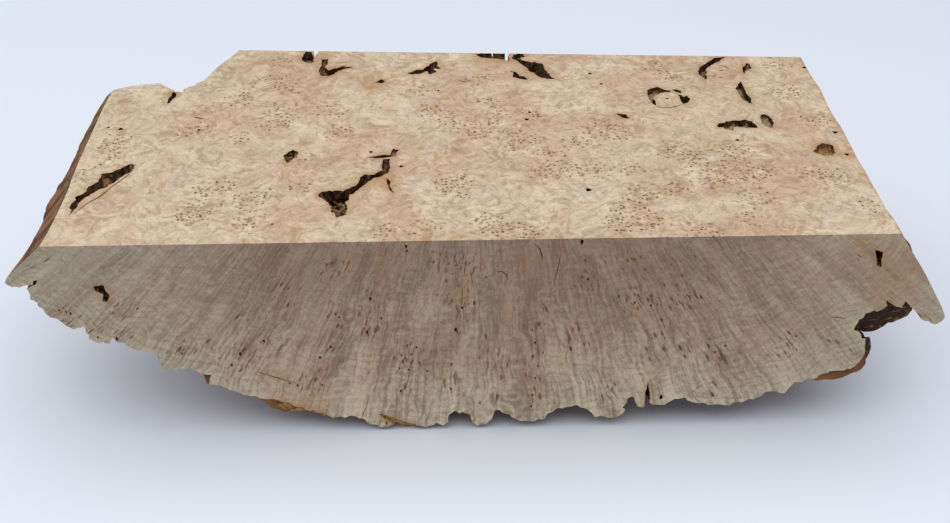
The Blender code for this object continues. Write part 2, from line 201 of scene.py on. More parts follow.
# Edges of the sawn top, as X and Y: the left one ends in the natural rim of the back corner
LEFT_EDGE = (
    (-206, -103.5), (-204.9, -91.5), (-204.6, -76), (-204.8, -54), (-205.6, -43), (-206.2, -24),
    (-206.5, 8.5), (-206.8, 32), (-206.3, 52.5), (-202.5, 54.6), (-197.5, 57), (-191.4, 59),
    (-185, 60), (-180, 60.8), (-174, 61.6), (-166, 62.4), (-160.5, 63.6), (-155.2, 66),
    (-152.9, 75.5), (-150.2, 83.1), (-144.9, 94.1), (-141.5, 103),
)
RIGHT_EDGE = (
    (194.2, -103.5), (194.6, -92), (193.4, -82), (193.6, -69), (193.4, -57), (193.7, -45),
    (193.3, -34), (193.7, -21), (194.1, -1), (193.4, 12), (193.5, 25), (194.6, 42), (193.7, 58),
    (193.5, 71), (193.6, 84.5),
)

# Section of the dome behind the front, as X and Z in the same order, before it thins backwards
DOME_OUTLINE = (
    (-206, 119), (-219.5, 106), (-231, 94), (-216, 85), (-199, 71), (-180, 58),
    (-160, 46), (-138, 34), (-114, 23), (-88, 14), (-60, 9), (-30, 7),
    (0, 8), (30, 10), (60, 11), (92, 14), (122, 17), (146, 22),
    (166, 29), (183, 40), (197, 54), (212, 63), (221, 71), (217, 84),
    (206, 101), (194, 119),
)

# Bark that swells out behind the front: centre on the outline, spread, and shift
SWELLINGS = (
    ((-104.0, 19.0), 13.0, (-4.0, 0.0, -8.0)),
    ((176.0, 34.0), 10.0, (5.0, 0.0, -10.0)),
    ((190.0, 50.0), 9.0, (6.0, 0.0, 0.0)),
    ((187.0, 38.0), 5.0, (6.0, 0.0, -2.0)),
    ((-137.5, 35.0), 3.5, (-2.5, 0.0, -3.0)),
    ((-160.0, 46.0), 3.5, (-1.5, 0.0, -3.0)),
    ((-46.0, 5.0), 8.0, (0.0, 0.0, -3.0)),
)
SWELLING_START = 2.0

# The sawn front's edge is straight, not torn, over these lengths from its two top corners
LEFT_STRAIGHT = (26.0, 34.0)
RIGHT_STRAIGHT = (58.0, 66.0)
SWELLING_REACH = 45.0

# Bark pockets in the sawn top, as X and Y, each with its depth
TOP_POCKETS = (
    (13, ((-198.3, -77.5), (-198.6, -73.5), (-200.2, -69.1), (-199.2, -65), (-199.3, -60.9),
          (-197, -58.2), (-195.3, -55), (-195.6, -51.8), (-193.3, -49), (-191.7, -47.1),
          (-191.6, -43.3), (-191.8, -38.9), (-190.2, -38.3), (-188.1, -39), (-183.6, -34.3),
          (-181, -31.9), (-179, -29.7), (-176.1, -31.5), (-177.6, -36.4), (-179.7, -40.7),
          (-182.2, -45.5), (-184.8, -48.3), (-186.6, -52.1), (-189.9, -55.2), (-192.6, -58.4),
          (-194.9, -62), (-196.8, -67.4), (-197.6, -72.7))),
    (6, ((-97.5, -17.3), (-94.5, -20.5), (-95.8, -25.5), (-98.8, -31), (-100.3, -28),
         (-101.8, -24.3), (-100, -20))),
    (7, ((-90.8, 89), (-87.5, 90), (-87, 84.5), (-88.3, 78.3), (-85.8, 74.5), (-82, 77),
         (-77, 80), (-72, 77.5), (-77.5, 75.8), (-80.8, 72), (-84.5, 67), (-90, 67.5),
         (-91.5, 73.3), (-90.5, 82))),
    (8, ((-40, 69.5), (-34.5, 73.3), (-30.8, 74), (-28.3, 78.3), (-24.5, 83.3), (-22.5, 85.8),
         (-22.5, 79.5), (-20.8, 74.5), (-25, 75), (-22.5, 70.8), (-27, 67), (-29, 71.5),
         (-32.5, 68.3), (-38.3, 67.8))),
    (17, ((21.8, 87), (25.5, 82.5), (29.3, 74.5), (33, 67), (36.8, 62), (40.5, 60), (44.3, 60.3),
          (43, 64.5), (40.5, 70.8), (39.3, 79.5), (35.5, 81.5), (30.5, 82.5), (26.8, 85.8),
          (27, 91), (23, 92.5))),
    (4, ((0, 94.6), (1, 91), (5, 88.5), (12, 87.5), (16, 86), (20, 84), (20.5, 90), (20, 93.6))),
    (30, ((16.8, 102), (21, 102), (20.2, 93), (19.3, 86.5), (18.2, 92))),
    (16, ((-81.2, -61.3), (-79, -59), (-74, -58.3), (-69.5, -58.5), (-65.7, -56), (-62, -51.8),
          (-61.2, -46.8), (-59.5, -42.5), (-57, -44.3), (-54, -43.5), (-50.8, -39.3),
          (-51.5, -34.3), (-50, -28.5), (-47.5, -28), (-46.8, -35.5), (-47.5, -41.8),
          (-50.8, -45.5), (-55.8, -48), (-58.3, -53), (-62, -58), (-65, -63), (-67, -69.3),
          (-66, -76.8), (-67, -81), (-70, -82.3), (-72.5, -80), (-73.8, -74.3), (-75.8, -68.5),
          (-79, -66))),
    (4, ((96.1, 44.6), (98, 45.8), (99.9, 47), (102.9, 48.1), (105.4, 45.6), (108, 44.1),
         (109.6, 43.7), (109.4, 42.2), (105.9, 41.5), (102.9, 40.3), (99.7, 38), (97.8, 34.9),
         (98, 32.5), (99, 31.3), (98.7, 26.5), (97.1, 28.3), (96, 31.9), (95.5, 36.1),
         (95.6, 41))),
    (3, ((110.1, 44.4), (112.7, 45.3), (115.4, 43), (114.7, 39.9), (112.5, 41.4))),
    (5, ((112.6, 38.9), (114.3, 37.8), (115.6, 36), (117.6, 37.4), (118.9, 33.1), (116.9, 29.2),
         (114.3, 27.6), (113.2, 30.3), (113.2, 34.4))),
    (5, ((149.4, 86), (145.5, 85.6), (142.2, 84.8), (139.1, 81.3), (135.4, 77.4), (131.6, 73.5),
         (130.2, 69.9), (129.1, 67.1), (129.1, 63.4), (130.2, 59.8), (131.9, 56.4), (132.9, 61.2),
         (132.7, 63.8), (134.9, 66.1), (133.9, 68.6), (136.1, 72.8), (140.3, 76.9), (144.4, 80.2),
         (146.2, 83.2))),
    (6, ((160, 77.4), (161.2, 74.7), (161.3, 70.8), (159.4, 68.9), (157.2, 67), (155.5, 63.2),
         (155.3, 67), (156.2, 71.6), (158.2, 74.2))),
    (4, ((151.9, 54), (151.3, 48.1), (151.7, 44.4), (151.5, 39.5), (152.1, 35.8), (153.1, 32.8),
         (151.9, 26.9), (150.3, 27.3), (148.5, 30.5), (147.6, 35.3), (147.3, 40.8), (146.5, 44.5),
         (147.9, 48.4))),
    (3, ((154.1, 13.5), (156, 14.6), (157.8, 12.8), (159.1, 8.8), (159, 3.8), (157.6, -0.1),
         (156, -1.1), (154.1, 1.1), (153, 5), (153, 9.5))),
    (4, ((134.2, 7.2), (137, 7.8), (140, 6.8), (142.6, 8.3), (144.8, 8.4), (147, 6.4),
         (148.8, 3.5), (148.9, -1.5), (145, -1), (142, -0.2), (138.9, 0.8), (136.6, 0.3),
         (135.3, -3.5), (132.9, -2.4), (130.2, 0.4), (127.9, 0.5), (127.5, 2.8), (129.4, 5.3),
         (131.9, 5.4))),
    (3.5, ((176, -20.5), (179.2, -18.3), (181.7, -18.6), (184, -21.2), (183.8, -27.4),
           (181.7, -30.7), (178, -31.1), (174.1, -29.2), (171.9, -26.1), (175.1, -23.9))),
    (5, ((-103, 88), (-102, 99.5), (-98, 99.5), (-96, 92), (-95.5, 86), (-98, 83.5))),
    (30, ((-97.2, 108), (-93.2, 108), (-93.8, 98), (-95.2, 92.5), (-96.5, 98))),
    (30, ((-180.5, 60), (-179.3, 58.6), (-174.2, 53.7), (-169.4, 50.2), (-166.8, 49.2),
          (-163.4, 55.5), (-160.2, 59.2), (-156.5, 63.5), (-155.5, 70), (-182, 70))),
    (5, ((-172.2, 35.3), (-172.8, 41.3), (-172, 44.7), (-172, 48.6), (-170.6, 49), (-169, 46.4),
         (-169.2, 43.5), (-170.6, 39.6), (-171.2, 36.1))),
    (4, ((19.8, 70.8), (21.8, 68.3), (21, 63.3), (24.3, 60.8), (29.3, 59), (28, 63.3),
         (25, 64.5), (23.5, 69.5))),
    (3, ((75, 17.5), (80.5, 16), (81.5, 11), (78, 12.5))),
    (3, ((-58, 58), (-55, 62), (-52, 60), (-54, 57))),
    (2, ((-59, -26.8), (-52, -24.3), (-47, -24.3), (-45.8, -18), (-43.8, -19.3), (-44, -25.5),
         (-51, -27.5))),
    (3, ((-48.3, -47.3), (-45.8, -50.5), (-46.3, -54.3), (-44, -61.8), (-46.5, -58),
         (-47.5, -53))),
    (3, ((24, 93.6), (28.8, 93.4), (29.5, 88.5), (26.5, 88))),
)

# Bark pockets in the sawn front, as X and Z, each with its depth
FRONT_POCKETS = (
    (9, ((-185.5, 95.5), (-180.5, 96.5), (-180, 93), (-178.5, 90), (-180.5, 86.5),
         (-182.5, 87), (-181.5, 91), (-184.5, 93))),
    (9, ((183.5, 110), (187.5, 108.5), (188.5, 100), (186, 101))),
    (12, ((81.6, 6), (82, 22), (82.6, 31), (84.2, 22), (86, 6))),
)

# Golden bark that shows in shallow hollows along the foot of the front, as X and Z
FRONT_BARK = (
    (2.0, ((-110.5, 23.5), (-103, 21.5), (-93.5, 16.5), (-82.5, 12.5), (-84, 8), (-96, 12),
           (-104, 15))),
    (1.6, ((-55, 11.6), (-48, 9.6), (-42, 6.2), (-36, 3.6), (-38, 1.5), (-46, 3.5), (-52, 8.3))),
)
POCKET_LIP = 1.5

# Down which share of its depth each ring of a pocket lies, and its share of the pocket's size
STEEP_RINGS = ((0.55, 0.98), (0.92, 0.93), (1.0, 0.82), (0.9, 0.5), (1.0, 0.2))
TAPERED_RINGS = ((0.20, 0.96), (0.42, 0.85), (0.62, 0.66), (0.52, 0.42), (0.70, 0.18))

# A pocket's edge and walls wander by no more than this share of its mean width, and its walls
# by no more than this far
TEAR_SHARE = 0.2
WALL_TEAR = 1.0

# Sizes over which a pocket's walls and its floor's depth wander, and the depth's share
WALL_SIZE = 2.6
WALL_STEP = 3.7
WALL_SEED = 5.0
POCKET_FLOOR_SIZE = 4.0
POCKET_FLOOR_SEED = 9.0
POCKET_FLOOR_SHARE = 0.28

# Cracks and pin holes: depths, a crack's points and its width at the ends, a hole's points, how
# far from round it is, and how much longer one on the front is
CRACK_DEPTH = 2.5
CRACK_SPACING = 1.6
CRACK_END = 0.15
CRACK_FULLNESS = 0.6
HOLE_DEPTH = 2.2
HOLE_POINTS = 9
HOLE_DENT = 0.22
HOLE_STRETCH = 1.9

# A pocket no deeper than this has steep walls and a flat floor
SHALLOW = 5.0

# A cut deeper than this opens onto the back edge, and leaves clean wood beside it
DEEPEST_POCKET = 20.0

# Pockets whose floor is bare wood, not bark, as X, Y, reach and strength; then golden ones
BARE_FLOORS = (
    (99, 40, 7, 0.9), (156, 6, 9, 1.0), (138, 3, 8, 0.6), (149.5, 38, 12, 0.8),
    (-193, -63, 10, 0.8), (117, 35, 4, 0.5),
)
GOLDEN_FLOORS = ((178, -26, 8, 1.0), (-188, -52, 5, 0.6), (-14, 92, 6, 0.4))

# Hairline cracks: on the top as X and Y, on the front as X and Z, with their widths
TOP_CRACKS = (
    (0.9, ((-155, 19.5), (-152, 18), (-149, 17.5))),
    (0.7, ((-48, -48), (-46.5, -55), (-44.5, -61))),
    (0.6, ((-176, -34.4), (-178.4, -41.2), (-180.5, -45.5), (-182.6, -49.3), (-184.4, -52.7),
           (-185.9, -56.9), (-187.5, -60.5), (-189.4, -63.2), (-191.3, -65.4), (-193, -68.1),
           (-194.6, -71.6), (-197.3, -76.6))),
    (0.5, ((98.4, 25.2), (101.4, 23.3), (105.8, 23.1), (110.6, 25.3), (113.2, 27))),
    (0.6, ((142.3, 74.6), (145.6, 73.6), (148.3, 69.2))),
    (0.9, ((141.7, 67.9), (144.2, 68.5))),
    (0.8, ((139.2, 59), (142.5, 59.8))),
    (0.7, ((136, 60.4), (138.8, 61.4))),
)
FRONT_CRACKS = (
    (0.56, ((22.5, 116.5), (25, 113.5), (26, 110), (26.8, 107))),
    (0.49, ((4.5, 100.5), (7.5, 100.8), (9.5, 99), (10.5, 95.5))),
    (0.35, ((35, 111), (34.2, 104), (33, 97), (32.4, 91))),
    (0.42, ((-114, 41.5), (-106, 38), (-99, 35), (-94, 33))),
    (0.28, ((-64, 9), (-61.5, 15), (-60, 20), (-59.4, 25))),
    (0.42, ((170, 70), (173, 69.8), (176.5, 69.2))),
    (0.49, ((-14.7, 68.5), (-14.2, 66), (-13.5, 63))),
    (0.35, ((-11.2, 92), (-11.4, 86), (-12, 80))),
)

# Pin holes left by the largest eyes: on the top as X and Y, on the front as X and Z, with radii
TOP_HOLES = (
    (-192, 7, 1.3), (-55, 60, 1.2), (66, 66, 1.1), (71, 53, 0.9), (52, -61, 1.5), (-41, -36, 1.0),
    (-57, -21, 1.0), (-44, -20, 1.3), (106, 34, 0.7), (135.6, -13.6, 1.0), (192.4, 70.6, 1.3),
    (189.3, -6.7, 1.3), (189, -30, 1.1), (-150, 5, 0.9), (-22, 47, 0.8), (28, 20, 1.0),
    (26, 12, 1.2), (-199, 9, 0.8),
)
FRONT_HOLES = (
    (-55.5, 86, 0.54), (-58, 65.5, 0.61), (-50.7, 74, 0.48), (-71, 75, 0.41), (-72.5, 77, 0.41),
    (-76.3, 56.5, 0.54), (-82, 50, 0.48), (-14.6, 66, 0.75), (-11.5, 79.5, 0.48),
    (44.6, 117, 0.82), (-37.3, 116, 0.54), (-37, 113.5, 0.41),
    (-42.8, 27, 0.48), (-34.2, 55.5, 0.41), (-42.9, 42, 0.41), (-38.4, 41, 0.41),
    (-29.1, 40, 0.41), (-41.3, 46.5, 0.41), (-36.9, 51, 0.41), (24.4, 57, 0.48),
    (23.7, 48.5, 0.48), (26.4, 42, 0.41), (24, 22.7, 0.48), (23.6, 15, 0.48), (22.8, 65, 0.41),
    (25.2, 34, 0.41), (-17.5, 28, 0.48), (-2.7, 18, 0.41), (48.6, 95.5, 0.48), (64, 85, 0.41),
    (72, 81, 0.48), (80, 79, 0.48), (90.3, 19.7, 0.82), (-149.5, 54, 0.41), (-121, 53, 0.68),
    (-126, 46, 0.48), (-108.6, 61, 0.61), (-204, 82, 0.41), (-201, 81, 0.41), (-199, 80, 0.48),
    (-188.6, 65, 0.41), (114.7, 49, 0.41), (119.3, 53, 0.41), (116, 29, 0.41), (154, 58.5, 0.41),
    (-94.7, 32, 0.48), (-98.5, 33.5, 0.48), (-82.3, 32, 0.41), (-179.7, 63.8, 0.75),
    (-36.4, 3.2, 0.61), (-51, 5.3, 0.48),
)

# Clusters of eyes on the top, as X, Y and reach, and on the front as X, Z, width and height
TOP_EYES = (
    (-132, 41, 10), (-107, 51, 7), (-152, 26, 6), (-150, 5, 10), (-108, 26, 9), (-110, 11, 9),
    (-129, -7, 6), (-192, -5, 9), (-190, -21, 9), (-136, -56, 8), (-128, -50, 7), (-143, -80, 8),
    (-111, -85, 9), (-137, -73, 8), (-116, -65, 8), (-107, -62, 6), (-90, -55, 6), (-124, 64, 7),
    (-111, 64, 6), (-81, 23, 9), (-75, 0, 8), (-90, -26, 7), (-32, 47, 8), (-26, 25, 9),
    (-2, 1, 10), (7, 34, 8), (21, -11, 12), (31, 19, 7), (68, 1, 11), (51, -13, 8),
    (32, -42, 8), (42, -45, 8), (58, -43, 9), (36, -24, 7), (-11, -51, 9), (-20, -53, 7),
    (-13, -61, 7), (8, -94, 10), (20, -97, 8), (-47, -95, 8), (-27, -92, 8), (1, -87, 7),
    (99, -22, 8), (108, -30, 8), (70, -5, 9), (130, -26, 10), (116, -46, 12), (133, -46, 9),
    (143, -48, 7), (117, -56, 8), (168, -49, 9), (179, -49, 8), (133, -71, 9), (94, -62, 8),
    (78, -66, 8), (68, -77, 7), (78, -91, 9), (124, -89, 7), (184, 7, 8), (186, -78, 8),
    (75, -42, 8), (104, -98, 9), (106, 74, 8), (112, 59, 8), (177, 74, 8), (174, 40, 9),
    (63, -93, 8), (-202, -40, 7), (0, 60, 8), (-14, 12, 8), (10, 16, 7), (-112, 88, 8),
)
FRONT_EYES = (
    (-53, 86, 7, 12), (-56, 66, 6, 10), (-72, 74, 6, 10), (-78, 54, 7, 10), (-96, 94, 8, 9),
    (-38, 50, 9, 14), (-42, 28, 6, 8), (-14, 78, 8, 16), (-18, 34, 7, 12), (24, 40, 5, 28),
    (48, 98, 6, 12), (72, 82, 14, 9), (66, 104, 10, 8), (-108, 58, 9, 10), (-124, 50, 9, 9),
    (-92, 34, 9, 9), (-8, 104, 7, 9), (-20, 106, 7, 8), (30, 76, 6, 12), (44, 60, 7, 12),
    (116, 46, 11, 10), (150, 52, 8, 9), (118, 24, 9, 6), (-202, 78, 7, 8), (-188, 68, 6, 6),
    (4, 48, 7, 14), (84, 52, 9, 12), (96, 84, 9, 11), (-150, 58, 8, 8), (60, 24, 8, 10),
    (-176, 82, 9, 9), (8, 22, 7, 9), (-70, 104, 8, 8),
)

# Round figures on the top that growth rings run about, as X, Y, reach and rise
TOP_SWIRLS = (
    (-129, -82, 17, 12), (106, 34, 11, 9), (140, 69, 13, 9), (82, -66, 12, 9), (52, -61, 15, 8),
    (-27, -92, 14, 8), (63, -93, 13, 8), (-60, -74, 18, 9), (146, -36, 22, 9), (-29, -41, 20, 7),
    (-84, 60, 20, 8), (-120, 34, 26, 10), (20, -10, 24, 9), (-168, 30, 24, 10), (-46, 24, 22, 8),
    (56, 66, 30, 9), (96, -84, 15, 8), (-104, 88, 18, 8), (166, -54, 15, 8), (28, -46, 18, 8),
    (-150, -30, 26, 9), (68, 2, 18, 8), (8, 34, 16, 7), (126, -88, 12, 7), (-186, -60, 22, 8),
)

# Places where the wood is tinted: on the top as X, Y, reach and strength
TOP_TINTS = (
    (-198, 38, 4, 1.0), (-172, 47, 5, 0.9), (-58, 52, 7, 0.8), (190, -31, 4, 0.9),
    (-66, -66, 13, 0.45), (-60, 66, 9, 0.5), (30, 66, 10, 0.5), (12, 84, 12, 0.55),
    (106, 26, 10, 0.35), (-49, -46, 9, 0.7), (-83, 75, 9, 0.4), (-97, 92, 8, 0.6),
    (150, 60, 9, 0.4), (-22, -98, 9, 0.35), (178, -24, 7, 0.5), (-90, -58, 9, 0.25),
)
TOP_PALE = (
    (82, -66, 4.5, 0.9), (106, 34, 9, 0.8), (140, 70, 8, 0.6), (-29, -41, 2.2, 1.0),
    (-129, -82, 7, 0.5), (120, 16, 30, 0.5), (-60, 40, 26, 0.35), (-176, -30, 20, 0.35),
    (66, -42, 14, 0.35), (-62, -92, 12, 0.3), (-190, -30, 34, 0.45), (-176, 36, 26, 0.45),
)

# Tinted and pale places on the front, as X, Z, width, height and strength
FRONT_TINTS = (
    (-96, 20, 14, 8, 0.5), (-105, 38, 14, 5, 0.35), (-48, 109, 5, 4, 0.5), (175, 116, 5, 5, 0.8),
    (62, 112, 12, 12, 0.25), (24, 108, 8, 12, 0.3), (198, 86, 12, 22, 0.65), (-62, 104, 6, 10, 0.2),
    (-50, 92, 4, 14, 0.2), (-14, 92, 4, 8, 0.3), (30, 20, 6, 14, 0.2), (-82, 16, 5, 12, 0.4),
)
FRONT_PALE = (
    (-65, 60, 3, 34, 0.5), (-44, 66, 3, 26, 0.4), (-7, 70, 2.5, 40, 0.5), (3, 100, 3, 18, 0.4),
    (57, 96, 3, 18, 0.4), (-130, 50, 26, 22, 0.3), (-182, 84, 26, 20, 0.45), (36, 50, 12, 20, 0.3),
    (130, 86, 30, 22, 0.25), (-100, 74, 14, 14, 0.25), (-30, 80, 12, 14, 0.35),
    (84, 34, 20, 14, 0.2),
)

# Chips of reddish bark that stick out below the front, as X, Z, width, height and strength
FRONT_CHIPS = (
    (176, 28, 14, 7, 1.2), (188, 40, 5, 6, 0.9), (-104, 12, 10, 8, 1.0), (-138, 33, 3, 3, 1.0),
    (-160, 44, 3, 3, 1.0), (-14, 10, 5, 4, 0.8), (10, 9, 4, 3, 0.6),
)
FAR_FROM_BARK = 14.0

# Distance from bark that the thin brown line at the right edge of the top stands for
EDGE_GAP = 0.3

# The front and the back are darkened by these shares as painted shade, standing in for the
# shade of faces that are lit less than the top; the second share is at their two ends
SIDE_PAINTED_SHADE = 0.78
END_PAINTED_SHADE = 0.68

# Distance between the larger buds, in millimetres
KNOT_SPACING = 8.0

# Sizes of the sawn wood's patterns in millimetres. Pairs are across and along the rays of growth,
# measured where a ray meets the level of the top, so those on the front are up to 3 times longer
STRAY_SIZE = 22.2
EDDY_SIZE = 11.76
DRIFT_SIZE = 38.46
COOL_SIZE = 27.78
ROUND_SIZE = (27.0, 24.0)
SCALLOP_SIZE = (24.0, 26.0)
RING_DRIFT_SIZE = 45.45
RING_PATCH_SIZE = 18.18
WISP_SIZE = 9.09
STREAK_SIZE = (1.111, 9.09)
BAND_SIZE = (11.11, 28.57)
FUZZ_SIZE = 1.4286
FLECK_SIZE = (1.333, 3.03)
STAIN_SIZE = 5.0

# How far the fibres and the rays wander, curl and swirl, in millimetres
FIBRE_WANDER = (13.0, 8.0, 0.0)
RAY_WANDER = (6.0, 5.0, 0.0)
CURL = (26.0, 26.0, 0.0)
SWIRL = (22.0, 22.0, 0.0)

# How far the rings bulge between creases, and how far their growth drifts, in millimetres
RING_BULGE = 11.0
RING_DRIFT = 20.0
RING_WIDTH = 0.45

# Sizes of the patterns of the grown surface and of bark, in millimetres
BARK_PATCH_SIZE = 16.67
STRIPE_SIZE = (1.25, 20.0, 1.25)
NOTCH_CRUMB_SIZE = 3.333
GRIT_SIZE = 2.0
CRUMB_SIZE = 3.846
DUST_SIZE = 1.111

# A point this near a saw cut lies on the sawn face
ON_FACE = 0.02

# Where no cluster is given: patches of eyes, their mean and contrast, and their share on the front
EYE_PATCH = 17.0
EYE_PATCH_SEED = 4.0
EYE_MEAN = 0.4
EYE_CONTRAST = 1.3
EYES_LEFT_IN_FRONT = 0.35

# The rings turn up towards the ends and the back: rises, and the distances that they belong to
END_RISE = 55.0
END_DISTANCE = 206.0
END_POWER = 3.2
DEPTH_RISE = 20.0
DEPTH_MIDDLE = -20.0
DEPTH_DISTANCE = 100.0
SWIRL_IN_FRONT = 0.3

# Sapwood fades in this far from the outline: a thin rim, then a broad one; then on the top
THIN_RIM = 2.2
THIN_RIM_POWER = 1.4
BROAD_RIM = 18.0
TOP_RIM = 7.0
RIM_STRENGTH = 0.5
SAPWOOD_ELSEWHERE = 0.2

# How far into the front and past its outline the golden bark goes, and the notch's dark lining
BARK_DEPTH = 4.0
BARK_MARGIN = 2.0
NOTCH_LINING = (196.0, 62.0, 22.0, 22.0, 2.0)
NOTCH_BACK = -50.0

# Distances from bark count this many times from a crack or hole, and from the right edge
FROM_HOLE = 4.0
FROM_EDGE = 2.0

# Depth behind the front within which a pocket opens to the front and not upwards
FRONT_POCKET_RANGE = (14.0, 12.0)

# Faces that meet at more than this angle in degrees keep a sharp edge between them
SHARP_ANGLE = 38.0

# The table's and the lamp's sizes and the lamp's place in metres, and the camera's place in
# millimetres with its tilt and turn in degrees, found from the photograph's perspective
TABLE_SIZE = 8.0
LAMP_PLACE = (-0.65, -0.30, 1.9)
LAMP_SIZE = (4.4, 2.6)
CAMERA_PLACE = (-17.5, -563.0, 432.4)
CAMERA_TILT = 35.31
CAMERA_TURN = -1.53

# The rays of growth start at this point above the block, in millimetres
RAY_START = (0.0, -20.0, 270.0)


def linear(code):
    """Turns an sRGB hex colour such as #C8B090 into linear red, green and blue."""
    shares = [int(code[start:start + 2], 16) / 255.0 for start in (1, 3, 5)]
    return tuple(s / 12.92 if s <= 0.04045 else ((s + 0.055) / 1.055) ** 2.4 for s in shares)


def colour_setting(name, description, code):
    return FloatVectorProperty(
        name=name, description=description, default=linear(code), size=3,
        subtype="COLOR", min=0.0, max=1.0)


class BurlShapeSettings(bpy.types.PropertyGroup):
    """Sizes of the grown surface and of the cuts through it."""

    column_spacing: FloatProperty(
        name="Column spacing", description="Distance between points along the outline",
        default=1.9 * MM, min=1.0 * MM, unit="LENGTH")
    rows: IntProperty(
        name="Rows", description="Sections from the sawn front to the sawn back",
        default=118, min=30)
    face_spacing: FloatProperty(
        name="Face spacing", description="Distance between points on the sawn faces",
        default=2.6 * MM, min=1.0 * MM, unit="LENGTH")
    outline_roughness: FloatProperty(
        name="Outline roughness", description="How far the torn front outline wanders",
        default=1.6 * MM, min=0.0, unit="LENGTH")
    spike_height: FloatProperty(
        name="Spike height", description="Height of the small spikes under the bark",
        default=1.3 * MM, min=0.0, unit="LENGTH")
    spike_spacing: FloatProperty(
        name="Spike spacing", description="Distance between the small spikes under the bark",
        default=5.2 * MM, min=1.0 * MM, unit="LENGTH")
    pocket_spacing: FloatProperty(
        name="Pocket spacing", description="Distance between points along a pocket's edge",
        default=1.1 * MM, min=0.5 * MM, unit="LENGTH")
    pocket_roughness: FloatProperty(
        name="Pocket roughness", description="How far a pocket's torn edge wanders",
        default=1.7 * MM, min=0.0, unit="LENGTH")


class BurlFigureSettings(bpy.types.PropertyGroup):
    """Colours and scales of the wood and its bark."""

    cream: colour_setting("Cream", "Lightest wood between the figure", "#DDC5A1")
    tan: colour_setting("Tan", "Tan wood inside a round of growth", "#CBA883")
    grey: colour_setting("Grey", "Cool greyish wood where the fibres stand on end", "#C3B099")
    sapwood: colour_setting("Sapwood", "Pale yellowish wood under the bark", "#D9CAA6")
    heart: colour_setting("Heart", "Purplish brown wood deep in the front", "#A68A73")
    ring: colour_setting("Ring line", "Thin dark line where a year of growth ends", "#8E6A4E")
    eye: colour_setting("Eye", "Dark core of a bud eye", "#5A3520")
    knot: colour_setting("Knot", "Soft reddish brown of a larger bud", "#8A5C3C")
    stain: colour_setting("Stain", "Orange brown wood beside bark", "#B07A44")
    ridge: colour_setting("Ridge", "Weathered tops of the grown surface", "#946840")
    bark: colour_setting("Bark", "Brown inner bark on the grown surface", "#623E24")
    crevice: colour_setting("Crevice", "Nearly black bark in creases and pockets", "#24150C")
    pocket: colour_setting("Pocket", "Golden brown crumbs of bark in a pocket", "#B3875A")
    bare: colour_setting("Bare floor", "Brownish grey wood on a pocket's floor", "#A98F70")
    pale_line: colour_setting("Pale line", "Pale wood between two rounds of growth", "#E6CCA8")
    chip: colour_setting("Chip", "Reddish brown chip of bark", "#9A6234")
    golden: colour_setting("Golden bark", "Golden bark along the foot of the front", "#BC8C52")
    eye_spacing: FloatProperty(
        name="Eye spacing", description="Distance between the eyes of a cluster",
        default=2.4 * MM, min=1.0 * MM, unit="LENGTH")
    ring_spacing: FloatProperty(
        name="Ring spacing", description="Growth in one year",
        default=4.4 * MM, min=1.0 * MM, unit="LENGTH")


class BurlStageSettings(bpy.types.PropertyGroup):
    """Floor, light and camera."""

    floor: colour_setting("Floor", "Pale neutral grey of the table", "#F0F0F0")
    light: colour_setting("Light", "Cool white of the lamp", "#F0F6FF")
    room: colour_setting("Room", "Bluish white of the light from all round", "#E2ECFF")
    sky_strength: FloatProperty(
        name="Sky strength", description="Strength of the light from all round",
        default=0.42, min=0.0)
    lamp_power: FloatProperty(
        name="Lamp power", description="Power of the large soft lamp above the block",
        default=55.5, min=0.0)
    lens: FloatProperty(
        name="Lens", description="Focal length on a 36 mm wide sensor", default=45.47, min=10.0)


def deselect_all():
    for item in bpy.context.selected_objects:
        item.select_set(False)


def select_only(item):
    deselect_all()
    item.select_set(True)
    bpy.context.view_layer.objects.active = item


def divided(points, spacing):
    """The same outline with its long stretches split."""
    points = np.array(points, float)
    line = [points[:1]]
    for start, end in zip(points[:-1], points[1:]):
        pieces = max(1, round(math.dist(start, end) / spacing))
        steps = np.arange(1, pieces + 1)[:, None] / pieces
        line.append(start + (end - start) * steps)
    return np.concatenate(line)


def run_length(line):
    steps = np.linalg.norm(np.diff(line, axis=0), axis=1)
    return np.concatenate([[0.0], np.cumsum(steps)])


def at_shares(points, shares):
    """Points at these shares of a polyline's length."""
    line = np.array(points, float)
    length = run_length(line)
    return np.stack([np.interp(shares * length[-1], length, line[:, axis]) for axis in (0, 1)], -1)


def rounded(line, reach):
    """The line smoothed over a reach, with both of its ends kept."""
    before = 2 * line[0] - line[1:][::-1]
    after = 2 * line[-1] - line[:-1][::-1]
    padded = np.concatenate([before, line, after])
    length = run_length(padded)
    own = np.gradient(length)
    middle = length[len(before):len(before) + len(line)]
    weight = np.exp(-(((middle[:, None] - length) / reach) ** 2)) * own
    return (weight @ padded) / weight.sum(1, keepdims=True)


def eased(values, limits):
    """Rises smoothly from 0 at the first limit to 1 at the second."""
    share = np.clip((values - limits[0]) / (limits[1] - limits[0]), 0.0, 1.0)
    return share * share * (3.0 - 2.0 * share)


def wander(point, size, seed):
    """Two steady random numbers for a point, which change over about this size."""
    place = Vector((point[0] / size, point[1] / size, seed))
    aside = place + Vector((SWIRL_SHIFTS[1], 0.0, 0.0))
    return np.array([noise.noise(place), noise.noise(aside)])


def torn(line, roughness, seed):
    """The line with each of its inner points moved a little, as torn wood is."""
    line = line.copy()
    for index in range(1, len(line) - 1):
        line[index] += wander(line[index], COARSE_TEAR, seed) * roughness
        fine = wander(line[index], FINE_TEAR, seed + FINE_SEED_STEP)
        line[index] += fine * roughness * FINE_SHARE
    return line


